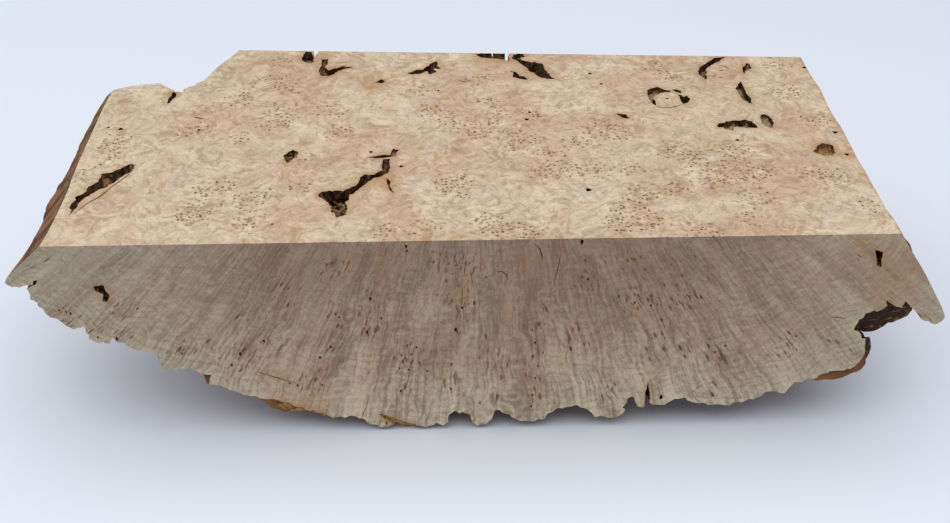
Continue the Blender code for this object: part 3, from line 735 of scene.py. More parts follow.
def height_share(x, y):
    """How much of the front's height is left: less at the back, least at the back left rim."""
    rimward = RIM_DIRECTION[0] * x + RIM_DIRECTION[1] * y
    rightward = RIGHT_DIRECTION[0] * x + RIGHT_DIRECTION[1] * y
    to_back = 1.0 - BACK_THINNING * eased(y, BACK_RANGE)
    to_rim = 1.0 - RIM_THINNING * eased(rimward, RIM_RANGE)
    to_right = 1.0 - RIGHT_THINNING * eased(rightward, RIGHT_RANGE)
    return to_back * to_rim * to_right


def drawn_in(behind, wing):
    """Share of a wing's length that is left this far behind the front."""
    share, reach, abruptness = wing
    return share + (1.0 - share) * np.exp(-((behind / reach) ** abruptness))


def placed(section, left, right, behind):
    """Places section points, as X and Z, between the left and right top edge of each row."""
    across, height = section[..., 0], section[..., 1]
    share = np.clip((across - TOP_LEFT) / (TOP_RIGHT - TOP_LEFT), 0.0, 1.0)
    out_left = np.minimum(across - TOP_LEFT, 0.0) * drawn_in(behind, LEFT_WING)
    out_right = np.maximum(across - TOP_RIGHT, 0.0) * drawn_in(behind, RIGHT_WING)
    span = right - left
    x = left[:, :1] + span[:, :1] * share + out_left + out_right
    y = left[:, 1:] + span[:, 1:] / span[:, :1] * (x - left[:, :1])
    z = HEIGHT - (HEIGHT - height) * height_share(x, y)
    return np.stack([x, y, z], -1)


def outward(surface):
    along_section = np.gradient(surface, axis=1)
    along_depth = np.gradient(surface, axis=0)
    normal = np.cross(along_depth, along_section)
    return normal / np.maximum(np.linalg.norm(normal, axis=-1, keepdims=True), 1e-9)


def swirl_at(point):
    """How far the knobs are pulled aside at a point: three slow waves of noise, side by side."""
    place = Vector(point) / KNOB_SWIRL_SIZE
    along = [noise.noise(place + Vector((shift, 0.0, 0.0))) for shift in SWIRL_SHIFTS]
    return Vector(along) * KNOB_SWIRL


def knob_height(point, spike_spacing):
    """Rounded knobs with creases between them in two sizes, and the spikes that stand on them."""
    spot = Vector(point) + swirl_at(point)
    large = noise.voronoi(spot / LARGE_KNOB)[0]
    small = noise.voronoi(spot / SMALL_KNOB)[0]
    large_dome = 1.0 - math.exp(-LARGE_ROUNDNESS * (large[1] - large[0])) - LARGE_MEAN
    small_dome = 1.0 - math.exp(-SMALL_ROUNDNESS * (small[1] - small[0])) - SMALL_MEAN
    spike = noise.voronoi(spot / spike_spacing)[0][0]
    thick = min(1.0, max(0.0, 0.5 + SPIKE_CONTRAST * noise.noise(spot / SPIKE_PATCH)))
    patchy = SPIKE_LEAST + (1.0 - SPIKE_LEAST) * thick
    fine = math.exp(-(spike / SPIKE_REACH) ** 2) * patchy - SPIKE_SINK
    fine += UNEVEN_HEIGHT * noise.noise(spot / UNEVEN_SIZE)
    return LARGE_HEIGHT * large_dome + SMALL_HEIGHT * small_dome, fine


def between_saw_cuts(surface, base, back_left, back_right):
    """Y of the surface, kept clear of the sawn front and back, where only the end rows lie."""
    slope = (back_right[1] - back_left[1]) / (back_right[0] - back_left[0])
    back = back_left[1] + slope * (surface[..., 0] - back_left[0])
    base_back = back_left[1] + slope * (base[..., 0] - back_left[0])
    from_back = np.maximum(back - surface[..., 1], SAW_MARGIN * (base_back - base[..., 1]))
    least = SAW_MARGIN * (base[..., 1] + HALF_DEPTH)
    from_front = np.maximum(surface[..., 1] + HALF_DEPTH, least)
    y = np.where(base[..., 1] > 0, back - from_back, from_front - HALF_DEPTH)
    y[0] = -HALF_DEPTH
    y[-1] = back[-1]
    return y


def grown_surface(shape):
    """Grid of points of the grown surface in millimetres, one row for each section."""
    smooth = divided(FRONT_OUTLINE, shape.column_spacing / MM)
    outline = torn(smooth, shape.outline_roughness / MM, 3.0)
    paired = run_length(rounded(smooth, PAIRING_REACH))
    dome = rounded(at_shares(DOME_OUTLINE, paired / paired[-1]), TOOTH_REACH)
    run = run_length(smooth)
    ragged = eased(run, LEFT_STRAIGHT) * eased(run[-1] - run, RIGHT_STRAIGHT)
    outline = smooth + (outline - smooth) * ragged[:, None]
    shares = np.linspace(0.0, 1.0, shape.rows) ** ROW_CROWDING
    left = at_shares(LEFT_EDGE, shares)
    right = at_shares(RIGHT_EDGE, shares)
    behind = shares[:, None] * (2 * HALF_DEPTH) * np.ones(len(outline))

    base = placed(dome[None] * np.ones((shape.rows, 1, 1)), left, right, behind)
    normal = outward(base)
    reach = TOOTH_REACH + (NOTCH_REACH - TOOTH_REACH) * eased(outline[:, 0], NOTCH_RANGE)
    tooth = np.exp(-((behind / reach) ** 2))
    section = dome + (outline - dome) * tooth[..., None]
    surface = placed(section, left, right, behind)

    spacing = shape.spike_spacing / MM
    heights = np.array([[knob_height(point, spacing) for point in row] for row in base])
    below = HEIGHT - base[..., 2]
    knobs = heights[..., 0] * eased(below, (0.0, FULL_KNOB_DEPTH))
    knobs += heights[..., 1] * (shape.spike_height / MM) * eased(below, SPIKE_RANGE)
    knobs *= eased(run, LEFT_SMOOTH) * eased(run[-1] - run, RIGHT_SMOOTH)
    knobs *= 1.0 - tooth
    surface += normal * knobs[..., None]
    for centre, reach, shift in SWELLINGS:
        near = np.exp(-(((smooth - centre) ** 2).sum(1)) / reach ** 2)
        starting = 1.0 - np.exp(-behind / SWELLING_START)
        swelling = near * starting * np.exp(-((behind / SWELLING_REACH) ** 2))
        surface += swelling[..., None] * shift
    surface[..., 1] = between_saw_cuts(surface, base, left[-1], right[-1])

    z = surface[..., 2]
    above = np.logaddexp(0.0, (z - CLEARANCE) / CLEARANCE_SOFTNESS)
    kept_up = CLEARANCE + CLEARANCE_SOFTNESS * above
    z = z * tooth + kept_up * (1.0 - tooth)
    for x, y in REST_SPOTS:
        gap = (surface[..., 0] - x) ** 2 + (surface[..., 1] - y) ** 2
        z = z * (1.0 - np.minimum(1.0, REST_PRESS * np.exp(-gap / REST_REACH ** 2)))
    surface[..., 2] = z
    surface[:, (0, -1), 2] = HEIGHT
    box = np.array([HALF_LENGTH, HALF_DEPTH, HEIGHT])
    return np.clip(surface, (-HALF_LENGTH, -HALF_DEPTH, 0.0), box)


def past_the_cuts(surface, margin, inset):
    """The surface with a row and column added outside each saw cut, and its own edge drawn in."""
    inner = surface.copy()
    inner[0, :, 1] += inset
    inner[-1, :, 1] -= inset
    inner[:, (0, -1), 2] -= inset
    front, back = inner[:1].copy(), inner[-1:].copy()
    front[..., 1] -= margin
    back[..., 1] += margin
    deep = np.concatenate([front, inner, back])
    left, right = deep[:, :1].copy(), deep[:, -1:].copy()
    left[..., 2] += margin
    right[..., 2] += margin
    return np.concatenate([left, deep, right], axis=1)


def give_finishes(data):
    """Gives a mesh the three finishes in their fixed order: sawn, grown and pocket."""
    for name in FINISHES:
        data.materials.append(bpy.data.materials[name])


def make_lump(surface):
    """The burl as it grew: a grid bent into the surface and closed outside the saw cuts."""
    rows, columns = surface.shape[:2]
    deselect_all()
    bpy.ops.mesh.primitive_grid_add(x_subdivisions=columns - 1, y_subdivisions=rows - 1, size=1)
    lump = bpy.context.object
    lump.name = lump.data.name = BLOCK
    lump.data.vertices.foreach_set("co", (surface * MM).astype(np.float32).ravel())
    mesh = bmesh.new()
    mesh.from_mesh(lump.data)
    mesh.verts.ensure_lookup_table()
    grid = [mesh.verts[row * columns:(row + 1) * columns] for row in range(rows)]
    left = [row[0] for row in grid]
    right = [row[-1] for row in grid]
    for closing in (left + right[::-1], grid[0], grid[-1]):
        mesh.faces.new(closing)
    bmesh.ops.recalc_face_normals(mesh, faces=mesh.faces)
    for face in mesh.faces:
        face.material_index = 1
        face.smooth = True
    mesh.to_mesh(lump.data)
    mesh.free()
    give_finishes(lump.data)
    return lump


def make_saw_cuts(spacing):
    """A box whose top, front and back lie in the three saw cuts, with finely divided faces."""
    deselect_all()
    bpy.ops.mesh.primitive_cube_add(size=1)
    cuts = bpy.context.object
    cuts.name = cuts.data.name = "saw_cuts"
    half_length = HALF_LENGTH + SPARE_LENGTH
    (back_x, back_y), (end_x, end_y) = LEFT_EDGE[-1], RIGHT_EDGE[-1]
    slope = (end_y - back_y) / (end_x - back_x)
    for vertex in cuts.data.vertices:
        x = math.copysign(half_length, vertex.co.x)
        y = back_y + slope * (x - back_x) if vertex.co.y > 0 else -HALF_DEPTH
        z = HEIGHT if vertex.co.z > 0 else -SPARE_DEPTH
        vertex.co = Vector((x, y, z)) * MM
    sizes = (2 * half_length, 2 * HALF_DEPTH, HEIGHT + SPARE_DEPTH)
    for axis in range(3):
        bpy.ops.object.mode_set(mode="EDIT")
        mesh = bmesh.from_edit_mesh(cuts.data)
        mesh.select_mode = {"EDGE"}
        for part in (*mesh.faces, *mesh.edges, *mesh.verts):
            part.select = False
        for edge in mesh.edges:
            along = edge.verts[1].co - edge.verts[0].co
            edge.select = abs(along[axis]) > ALONG_AXIS * along.length
        bmesh.update_edit_mesh(cuts.data)
        bpy.ops.mesh.subdivide(number_cuts=round(sizes[axis] * MM / spacing) - 1)
        bpy.ops.object.mode_set(mode="OBJECT")
    give_finishes(cuts.data)
    return cuts


def apply_boolean(block, other, operation):
    """Applies a cut or an overlap of the block and another object or collection."""
    select_only(block)
    cut = block.modifiers.new("cut", "BOOLEAN")
    cut.operation = operation
    cut.solver = "MANIFOLD"
    if isinstance(other, bpy.types.Collection):
        cut.operand_type = "COLLECTION"
        cut.collection = other
    else:
        cut.object = other
    before = len(block.data.polygons)
    bpy.ops.object.modifier_apply(modifier=cut.name)
    if len(block.data.polygons) in (0, before):
        raise RuntimeError(f"{operation} left the block as it was or empty")


class BURL_OT_saw_block(bpy.types.Operator):
    """Grow the lump of burl and saw its top, its front and its back flat"""

    bl_idname = "burl.saw_block"
    bl_label = "Saw the block"
    bl_options = {"REGISTER", "UNDO"}

    def execute(self, context):
        shape = context.scene.burl_shape
        surface = grown_surface(shape)
        lump = make_lump(past_the_cuts(surface, CUT_MARGIN, CUT_INSET))
        cuts = make_saw_cuts(shape.face_spacing)
        apply_boolean(lump, cuts, "INTERSECT")
        bpy.data.objects.remove(cuts, do_unlink=True)
        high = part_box(CAD_NODE)[1]
        reach = max(vertex.co.x for vertex in lump.data.vertices)
        if reach > high.x + PAST_FRAME or reach < high.x - SHORT_OF_FRAME:
            raise RuntimeError("the block doesn't fit the frame")
        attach(lump, "root")
        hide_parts(CAD_NODE)
        return {"FINISHED"}


def pocket_rings(depth):
    """Depth and size of each ring of a pocket, from its lip to the middle of its floor."""
    inner = STEEP_RINGS if depth <= SHALLOW else TAPERED_RINGS
    lip = [(-POCKET_LIP, 1.0), (0.0, 1.0)]
    return lip + [(share * depth, size) for share, size in inner]


def make_cutter(name, outline, depth, rough, to_world, collection):
    """A pocket as a stack of rings that shrink towards a torn floor."""
    middle = outline.mean(0)
    rings = pocket_rings(depth)
    count = len(outline)
    mesh = bmesh.new()
    loops = []
    for level, (down, size) in enumerate(rings):
        loop = []
        for point in outline:
            spot = middle + (point - middle) * size
            torn_depth = down
            if level > 1:
                sideways = wander(spot + WALL_STEP * level, WALL_SIZE, WALL_SEED)
                spot = spot + sideways * rough * size
                uneven = wander(spot, POCKET_FLOOR_SIZE, POCKET_FLOOR_SEED)[0]
                torn_depth = down * (1.0 + POCKET_FLOOR_SHARE * uneven)
            loop.append(mesh.verts.new(to_world(spot[0], spot[1], torn_depth)))
        loops.append(loop)
    for upper, lower in zip(loops, loops[1:]):
        for index in range(count):
            after = (index + 1) % count
            mesh.faces.new((upper[index], upper[after], lower[after], lower[index]))
    mesh.faces.new(loops[0])
    mesh.faces.new(loops[-1])
    bmesh.ops.recalc_face_normals(mesh, faces=mesh.faces)
    for face in mesh.faces:
        face.material_index = 2
        face.smooth = True
    data = bpy.data.meshes.new(name)
    mesh.to_mesh(data)
    mesh.free()
    give_finishes(data)
    collection.objects.link(bpy.data.objects.new(name, data))


def mean_width(points):
    """Mean width of a long closed outline: twice its area over its length round."""
    line = np.array(tuple(points) + (points[0],), float)
    area = 0.5 * abs(np.sum(line[:-1, 0] * line[1:, 1] - line[1:, 0] * line[:-1, 1]))
    return 2.0 * area / run_length(line)[-1]


def closed_outline(points, spacing, roughness, seed):
    line = divided(tuple(points) + (points[0],), spacing)
    return torn(line, roughness, seed)[:-1]


def crack_outline(width, points):
    """A long thin outline about a line, pointed at both ends."""
    line = divided(points, CRACK_SPACING)
    along = np.gradient(line, axis=0)
    side = np.stack([-along[:, 1], along[:, 0]], -1)
    side /= np.linalg.norm(side, axis=1, keepdims=True)
    share = np.linspace(0.0, 1.0, len(line))
    fullness = CRACK_END + (1.0 - CRACK_END) * np.sin(math.pi * share) ** CRACK_FULLNESS
    half = 0.5 * width * fullness[:, None]
    return np.concatenate([line + side * half, (line - side * half)[::-1]])


def hole_outline(x, y, radius, stretch):
    """A pin hole, longer along the rays of growth on the front than it is wide."""
    turn = 2.0 * math.pi * np.arange(HOLE_POINTS) / HOLE_POINTS
    outline = np.stack([np.cos(turn) * radius, np.sin(turn) * radius * stretch], -1)
    return np.array((x, y)) + outline * (1.0 + HOLE_DENT * np.sin(3.0 * turn + x))[:, None]


def on_top(x, y, depth):
    return Vector((x, y, HEIGHT - depth)) * MM


def on_front(x, z, depth):
    return Vector((x, depth - HALF_DEPTH, z)) * MM


def all_cutters(shape):
    """Name, outline, depth, roughness and face of each pocket, crack and pin hole."""
    spacing = shape.pocket_spacing / MM
    rough = shape.pocket_roughness / MM
    for face, kind, pockets in (
            (on_top, "top_pocket", TOP_POCKETS), (on_front, "front_pocket", FRONT_POCKETS),
            (on_front, "front_bark", FRONT_BARK)):
        for number, (depth, points) in enumerate(pockets, 1):
            least = TEAR_SHARE * mean_width(points)
            outline = closed_outline(points, spacing, min(rough, least), float(number))
            yield f"{kind}_{number:02d}", outline, depth, min(WALL_TEAR, least), face
    for face, kind, cracks in ((on_top, "top_crack", TOP_CRACKS),
                               (on_front, "front_crack", FRONT_CRACKS)):
        for number, (width, points) in enumerate(cracks, 1):
            outline = crack_outline(width, points)
            yield f"{kind}_{number:02d}", outline, CRACK_DEPTH, 0.0, face
    for face, kind, stretch, holes in ((on_top, "top_hole", 1.0, TOP_HOLES),
                                       (on_front, "front_hole", HOLE_STRETCH, FRONT_HOLES)):
        for number, (x, y, radius) in enumerate(holes, 1):
            outline = hole_outline(x, y, radius, stretch)
            yield f"{kind}_{number:02d}", outline, HOLE_DEPTH, 0.0, face


class BURL_OT_cut_pockets(bpy.types.Operator):
    """Cut the bark pockets, the cracks and the pin holes into the sawn faces"""

    bl_idname = "burl.cut_pockets"
    bl_label = "Cut the pockets"
    bl_options = {"REGISTER", "UNDO"}

    def execute(self, context):
        block = bpy.data.objects[BLOCK]
        cutters = bpy.data.collections.new("burl_cutters")
        context.scene.collection.children.link(cutters)
        for name, outline, depth, rough, face in all_cutters(context.scene.burl_shape):
            make_cutter(name, outline, depth, rough, face, cutters)
        apply_boolean(block, cutters, "DIFFERENCE")
        for cutter in list(cutters.objects):
            bpy.data.objects.remove(cutter, do_unlink=True)
        bpy.data.collections.remove(cutters)
        return {"FINISHED"}


def round_spots(spots):
    """Round spots, as X, Y, reach and strength, in the form that spread takes."""
    return [(x, y, reach, reach, strength) for x, y, reach, strength in spots]


def spread(points, spots):
    """Sum of soft spots, each a centre, two reaches and a strength, at flat points."""
    total = np.zeros(len(points))
    for spot in spots:
        gap = ((points[:, 0] - spot[0]) / spot[2]) ** 2 + ((points[:, 1] - spot[1]) / spot[3]) ** 2
        total += spot[4] * np.exp(-gap)
    return total


def fan_place(points):
    """Where the ray of growth through each point meets the level of the top, as X and Y."""
    share = (RAY_START[2] - HEIGHT) / (RAY_START[2] - points[:, 2])
    return np.stack([points[:, 0] * share, (points[:, 1] - RAY_START[1]) * share], -1)


def distance_to(points, line):
    """Distance of flat points from an open line."""
    nearest = np.full(len(points), 1e9)
    for start, end in zip(line[:-1], line[1:]):
        along = end - start
        share = ((points - start) @ along) / max(along @ along, 1e-9)
        foot = start + np.clip(share, 0.0, 1.0)[:, None] * along
        nearest = np.minimum(nearest, np.linalg.norm(points - foot, axis=1))
    return nearest


def gap_to_bark(flat, on_face, face, shape):
    """Distance of each point of a sawn face from bark, counted fourfold from a crack or hole."""
    gap = np.full(len(flat), FAR_FROM_BARK)
    for name, outline, depth, rough, cutter_face in all_cutters(shape):
        if cutter_face is not face or depth > DEEPEST_POCKET:
            continue
        low, high = outline.min(0) - FAR_FROM_BARK, outline.max(0) + FAR_FROM_BARK
        close = on_face & (flat >= low).all(1) & (flat <= high).all(1)
        if close.any():
            closed = np.concatenate([outline, outline[:1]])
            times = 1.0 if rough else FROM_HOLE
            gap[close] = np.minimum(gap[close], distance_to(flat[close], closed) * times)
    if face is on_top:
        from_edge = distance_to(flat, np.array(RIGHT_EDGE, float))
        gap = np.minimum(gap, EDGE_GAP + FROM_EDGE * from_edge)
    return gap


def work_out_figure(block, shape):
    """Gives each point of the block what its finish needs to know about the wood there."""
    count = len(block.data.vertices)
    points = np.empty(count * 3, np.float32)
    block.data.vertices.foreach_get("co", points)
    points = points.reshape(-1, 3).astype(float) / MM
    fan = fan_place(points)
    top = points[:, 2] > HEIGHT - ON_FACE
    front = points[:, 1] < ON_FACE - HALF_DEPTH
    flat_front = points[:, (0, 2)]
    flat_top = points[:, :2]

    eyes_top = spread(flat_top, round_spots((*place, 1.0) for place in TOP_EYES))
    eyes_front = spread(flat_front, [(*place, 1.0) for place in FRONT_EYES])
    patches = np.array([noise.noise(Vector((a / EYE_PATCH, b / EYE_PATCH, EYE_PATCH_SEED)))
                        for a, b in fan])
    elsewhere = EYE_MEAN + EYE_CONTRAST * patches
    few = np.maximum(eyes_front, EYES_LEFT_IN_FRONT * elsewhere)
    eyes = np.where(top, eyes_top, np.where(front, few, elsewhere))

    swirl = spread(fan + (0.0, RAY_START[1]), round_spots(TOP_SWIRLS))
    swirl *= np.where(top, 1.0, SWIRL_IN_FRONT)
    end_rise = END_RISE * np.abs(points[:, 0] / END_DISTANCE) ** END_POWER
    depth_rise = DEPTH_RISE * ((points[:, 1] - DEPTH_MIDDLE) / DEPTH_DISTANCE) ** 2
    growth = HEIGHT - points[:, 2] + end_rise + depth_rise - swirl

    rim_front = distance_to(flat_front, np.array(FRONT_OUTLINE[3:-3], float))
    rim_top = distance_to(flat_top, np.array(LEFT_EDGE[1:], float))
    front_rim = np.exp(-((rim_front / THIN_RIM) ** THIN_RIM_POWER))
    front_rim += np.exp(-((rim_front / BROAD_RIM) ** 2))
    top_rim = np.exp(-((rim_top / TOP_RIM) ** 2))
    sapwood = np.where(top, RIM_STRENGTH * top_rim, SAPWOOD_ELSEWHERE)
    sapwood = np.where(front, RIM_STRENGTH * front_rim, sapwood)

    gap = np.minimum(gap_to_bark(flat_top, top, on_top, shape),
                     gap_to_bark(flat_front, front, on_front, shape))
    tint = spread(flat_top, round_spots(TOP_TINTS)) * top
    tint += spread(flat_front, FRONT_TINTS) * front
    pale = spread(flat_top, round_spots(TOP_PALE)) * top
    pale += spread(flat_front, FRONT_PALE) * front

    in_pocket = points[:, 2] > HEIGHT - DEEPEST_POCKET
    bare = np.minimum(1.0, spread(flat_top, round_spots(BARE_FLOORS))) * in_pocket
    gold = spread(flat_top, round_spots(GOLDEN_FLOORS)) * in_pocket
    for depth, line in FRONT_BARK:
        centre = np.mean(line, axis=0)
        reach = np.abs(np.array(line) - centre).max(0) + BARK_MARGIN
        inside = (np.abs(flat_front - centre) < reach).all(1)
        gold[inside & (points[:, 1] < BARK_DEPTH - HALF_DEPTH)] = 1.0
    gold = np.maximum(gold, np.minimum(1.0, spread(flat_front, FRONT_CHIPS)) * ~front)
    notch = spread(flat_front, [NOTCH_LINING]) * (points[:, 1] < NOTCH_BACK)

    for name, values in (("eyes", eyes), ("growth", growth), ("sapwood", sapwood), ("gap", gap),
                         ("tint", tint), ("pale", pale), ("gold", gold), ("notch", notch),
                         ("bare", bare)):
        layer = block.data.attributes.new(name, "FLOAT", "POINT")
        layer.data.foreach_set("value", values.astype(np.float32))


def add_node(tree, kind, settings=None, values=None, links=None):
    """Adds a node with its settings, its socket values and the nodes or sockets that feed it."""
    node = tree.nodes.new(kind)
    for name, value in (settings or {}).items():
        setattr(node, name, value)
    for socket, value in (values or {}).items():
        node.inputs[socket].default_value = value
    for socket, source in (links or {}).items():
        if isinstance(source, bpy.types.Node):
            source = source.outputs[0]
        tree.links.new(source, node.inputs[socket])
    return node


def new_material(name, roughness):
    material = bpy.data.materials.new(name)
    material.use_nodes = True
    shader = material.node_tree.nodes["Principled BSDF"]
    shader.inputs["Roughness"].default_value = roughness
    shader.inputs["IOR"].default_value = 1.52
    shader.inputs["Metallic"].default_value = 0.0
    return material, material.node_tree, shader


def repeats(*sizes):
    """How often a pattern of these sizes in millimetres comes again within one millimetre."""
    return tuple(1.0 / size for size in sizes)


def in_millimetres(tree):
    place = add_node(tree, "ShaderNodeTexCoord")
    return add_node(tree, "ShaderNodeVectorMath", {"operation": "SCALE"}, {"Scale": 1.0 / MM},
                    {0: place.outputs["Object"]})


def sawn_burl(figure):
    """Maple burl as the band saw left it, dry and unfinished.

    The eye sees cream and tan wood that curls about clusters of dark bud eyes on the top, and
    greyer wood with soft streaks, dark flecks and scalloped year rings on the front.
    """
    material, tree, shader = new_material(SAWN, 0.55)
    shader.inputs["Specular IOR Level"].default_value = 0.35

    spot = in_millimetres(tree)
    axes = add_node(tree, "ShaderNodeSeparateXYZ", links={0: spot})
    x, y, z = axes.outputs
    told = {name: add_node(tree, "ShaderNodeAttribute", {"attribute_name": name}).outputs["Fac"]
            for name in ("eyes", "growth", "sapwood", "gap", "tint", "pale")}

    # Rays of growth fan out from a point above the block, and a and b are constant along each
    below = add_node(tree, "ShaderNodeMath", {"operation": "SUBTRACT"}, {0: RAY_START[2]}, {1: z})
    share = add_node(tree, "ShaderNodeMath", {"operation": "DIVIDE"},
                     {0: RAY_START[2] - HEIGHT}, {1: below})
    from_start = add_node(tree, "ShaderNodeMath", {"operation": "SUBTRACT"}, {1: RAY_START[1]},
                          {0: y})
    a = add_node(tree, "ShaderNodeMath", {"operation": "MULTIPLY"}, links={0: x, 1: share})
    b = add_node(tree, "ShaderNodeMath", {"operation": "MULTIPLY"},
                 links={0: from_start, 1: share})
    fan = add_node(tree, "ShaderNodeCombineXYZ", links={0: a, 1: b})

    # The rays wander by a few millimetres, as fibres do round the buds
    stray = add_node(tree, "ShaderNodeTexNoise", {"noise_dimensions": "3D"},
                     {"Scale": 1.0 / STRAY_SIZE, "Detail": 3.0, "Roughness": 0.55},
                     {"Vector": spot})
    stray = add_node(tree, "ShaderNodeVectorMath", {"operation": "SUBTRACT"},
                     {1: (0.5, 0.5, 0.5)}, {0: stray.outputs["Color"]})
    wandering = add_node(tree, "ShaderNodeVectorMath", {"operation": "MULTIPLY_ADD"},
                         {1: FIBRE_WANDER}, {0: stray, 2: fan})
    rays = add_node(tree, "ShaderNodeVectorMath", {"operation": "MULTIPLY_ADD"},
                    {1: RAY_WANDER}, {0: stray, 2: fan})
    eddy = add_node(tree, "ShaderNodeTexNoise", {"noise_dimensions": "3D"},
                    {"Scale": 1.0 / EDDY_SIZE, "Detail": 2.0, "Roughness": 0.5},
                    {"Vector": spot})
    eddy = add_node(tree, "ShaderNodeVectorMath", {"operation": "SUBTRACT"},
                    {1: (0.5, 0.5, 0.5)}, {0: eddy.outputs["Color"]})
    curling = add_node(tree, "ShaderNodeVectorMath", {"operation": "MULTIPLY_ADD"},
                       {1: CURL}, {0: eddy, 2: wandering})

    facing = add_node(tree, "ShaderNodeNewGeometry")
    facing_axes = add_node(tree, "ShaderNodeSeparateXYZ",
                           links={0: facing.outputs["True Normal"]})
    sideways = add_node(tree, "ShaderNodeMath", {"operation": "ABSOLUTE"},
                        links={0: facing_axes.outputs[1]})
    on_side = add_node(tree, "ShaderNodeMapRange", values={1: 0.55, 2: 0.8},
                       links={0: sideways})

    # Slow drift of the wood between cream, tan and grey over 30 to 60 mm
    drift = add_node(tree, "ShaderNodeTexNoise", {"noise_dimensions": "3D"},
                     {"Scale": 1.0 / DRIFT_SIZE, "Detail": 4.0, "Roughness": 0.55,
                      "Distortion": 1.3},
                     {"Vector": spot})
    cream_tan = add_node(tree, "ShaderNodeMapRange", {"interpolation_type": "SMOOTHSTEP"},
                         {1: 0.36, 2: 0.64}, {0: drift})
    wood = add_node(tree, "ShaderNodeMix", {"data_type": "RGBA"},
                    {6: (*figure.cream, 1.0), 7: (*figure.tan, 1.0)}, {0: cream_tan})
    cool = add_node(tree, "ShaderNodeTexNoise", {"noise_dimensions": "3D"},
                    {"Scale": 1.0 / COOL_SIZE, "Detail": 4.0, "Roughness": 0.6,
                     "Distortion": 2.4},
                    {"Vector": spot})
    cool_share = add_node(tree, "ShaderNodeMapRange", {"interpolation_type": "SMOOTHSTEP"},
                          {1: 0.5, 2: 0.68, 4: 0.5}, {0: cool})
    wood = add_node(tree, "ShaderNodeMix", {"data_type": "RGBA"}, {7: (*figure.grey, 1.0)},
                    {0: cool_share, 6: wood.outputs[2]})

    # Rounds of growth, 20 to 30 mm across: tan inside, with a thin pale line between two of them
    rounds_place = add_node(tree, "ShaderNodeVectorMath", {"operation": "MULTIPLY"},
                            {1: (*repeats(*ROUND_SIZE), 0.0)}, {0: curling})
    round_edge = add_node(tree, "ShaderNodeTexVoronoi",
                          {"voronoi_dimensions": "2D", "feature": "DISTANCE_TO_EDGE"},
                          {"Scale": 1.0}, {"Vector": rounds_place})
    round_cell = add_node(tree, "ShaderNodeTexVoronoi", {"voronoi_dimensions": "2D"},
                          {"Scale": 1.0}, {"Vector": rounds_place})
    round_tint = add_node(tree, "ShaderNodeSeparateColor", links={0: round_cell.outputs["Color"]})
    inside = add_node(tree, "ShaderNodeMapRange", {"interpolation_type": "SMOOTHSTEP"},
                      {1: 0.03, 2: 0.24}, {0: round_edge.outputs["Distance"]})
    inside = add_node(tree, "ShaderNodeMath", {"operation": "MULTIPLY"},
                      links={0: inside, 1: round_tint.outputs[0]})
    inside = add_node(tree, "ShaderNodeMath", {"operation": "MULTIPLY"}, {1: 0.6}, {0: inside})
    wood = add_node(tree, "ShaderNodeMix", {"data_type": "RGBA"}, {7: (*figure.tan, 1.0)},
                    {0: inside, 6: wood.outputs[2]})
    between = add_node(tree, "ShaderNodeMapRange", {"interpolation_type": "SMOOTHSTEP"},
                       {1: 0.05, 2: 0.0, 4: 0.42}, {0: round_edge.outputs["Distance"]})
    between = add_node(tree, "ShaderNodeMath", {"operation": "MULTIPLY"},
                       links={0: between, 1: cream_tan})
    wood = add_node(tree, "ShaderNodeMix", {"data_type": "RGBA"}, {7: (*figure.pale_line, 1.0)},
                    {0: between, 6: wood.outputs[2]})

    # The front is a darker purplish brown high in its middle, and greyer at its left and foot
    high = add_node(tree, "ShaderNodeMapRange", {"interpolation_type": "SMOOTHSTEP"},
                    {1: 10.0, 2: 110.0}, {0: z})
    from_middle = add_node(tree, "ShaderNodeMath", {"operation": "ABSOLUTE"}, links={0: x})
    middle = add_node(tree, "ShaderNodeMapRange", {"interpolation_type": "SMOOTHSTEP"},
                      {1: 200.0, 2: 90.0}, {0: from_middle})
    deep = add_node(tree, "ShaderNodeMath", {"operation": "MULTIPLY"},
                    links={0: high, 1: middle})
    deep = add_node(tree, "ShaderNodeMath", {"operation": "MULTIPLY_ADD"}, {1: 0.8, 2: 0.15},
                    {0: deep})
    deep = add_node(tree, "ShaderNodeMath", {"operation": "MULTIPLY"},
                    links={0: deep, 1: on_side})
    wood = add_node(tree, "ShaderNodeMix", {"data_type": "RGBA"}, {7: (*figure.heart, 1.0)},
                    {0: deep, 6: wood.outputs[2]})
    weathered = add_node(tree, "ShaderNodeMapRange", {"interpolation_type": "SMOOTHSTEP"},
                         {1: -90.0, 2: -190.0, 4: 0.7}, {0: x})
    foot = add_node(tree, "ShaderNodeMapRange", {"interpolation_type": "SMOOTHSTEP"},
                    {1: 62.0, 2: 4.0, 4: 0.6}, {0: z})
    weathered = add_node(tree, "ShaderNodeMath", {"operation": "MAXIMUM"},
                         links={0: weathered, 1: foot})
    weathered = add_node(tree, "ShaderNodeMath", {"operation": "MULTIPLY"},
                         links={0: weathered, 1: on_side})
    wood = add_node(tree, "ShaderNodeMix", {"data_type": "RGBA"}, {7: (*figure.grey, 1.0)},
                    {0: weathered, 6: wood.outputs[2]})
    wood = add_node(tree, "ShaderNodeMix", {"data_type": "RGBA"}, {7: (*figure.sapwood, 1.0)},
                    {0: told["sapwood"], 6: wood.outputs[2]})
    wood = add_node(tree, "ShaderNodeMix", {"data_type": "RGBA"}, {7: (*figure.cream, 1.0)},
                    {0: told["pale"], 6: wood.outputs[2]})

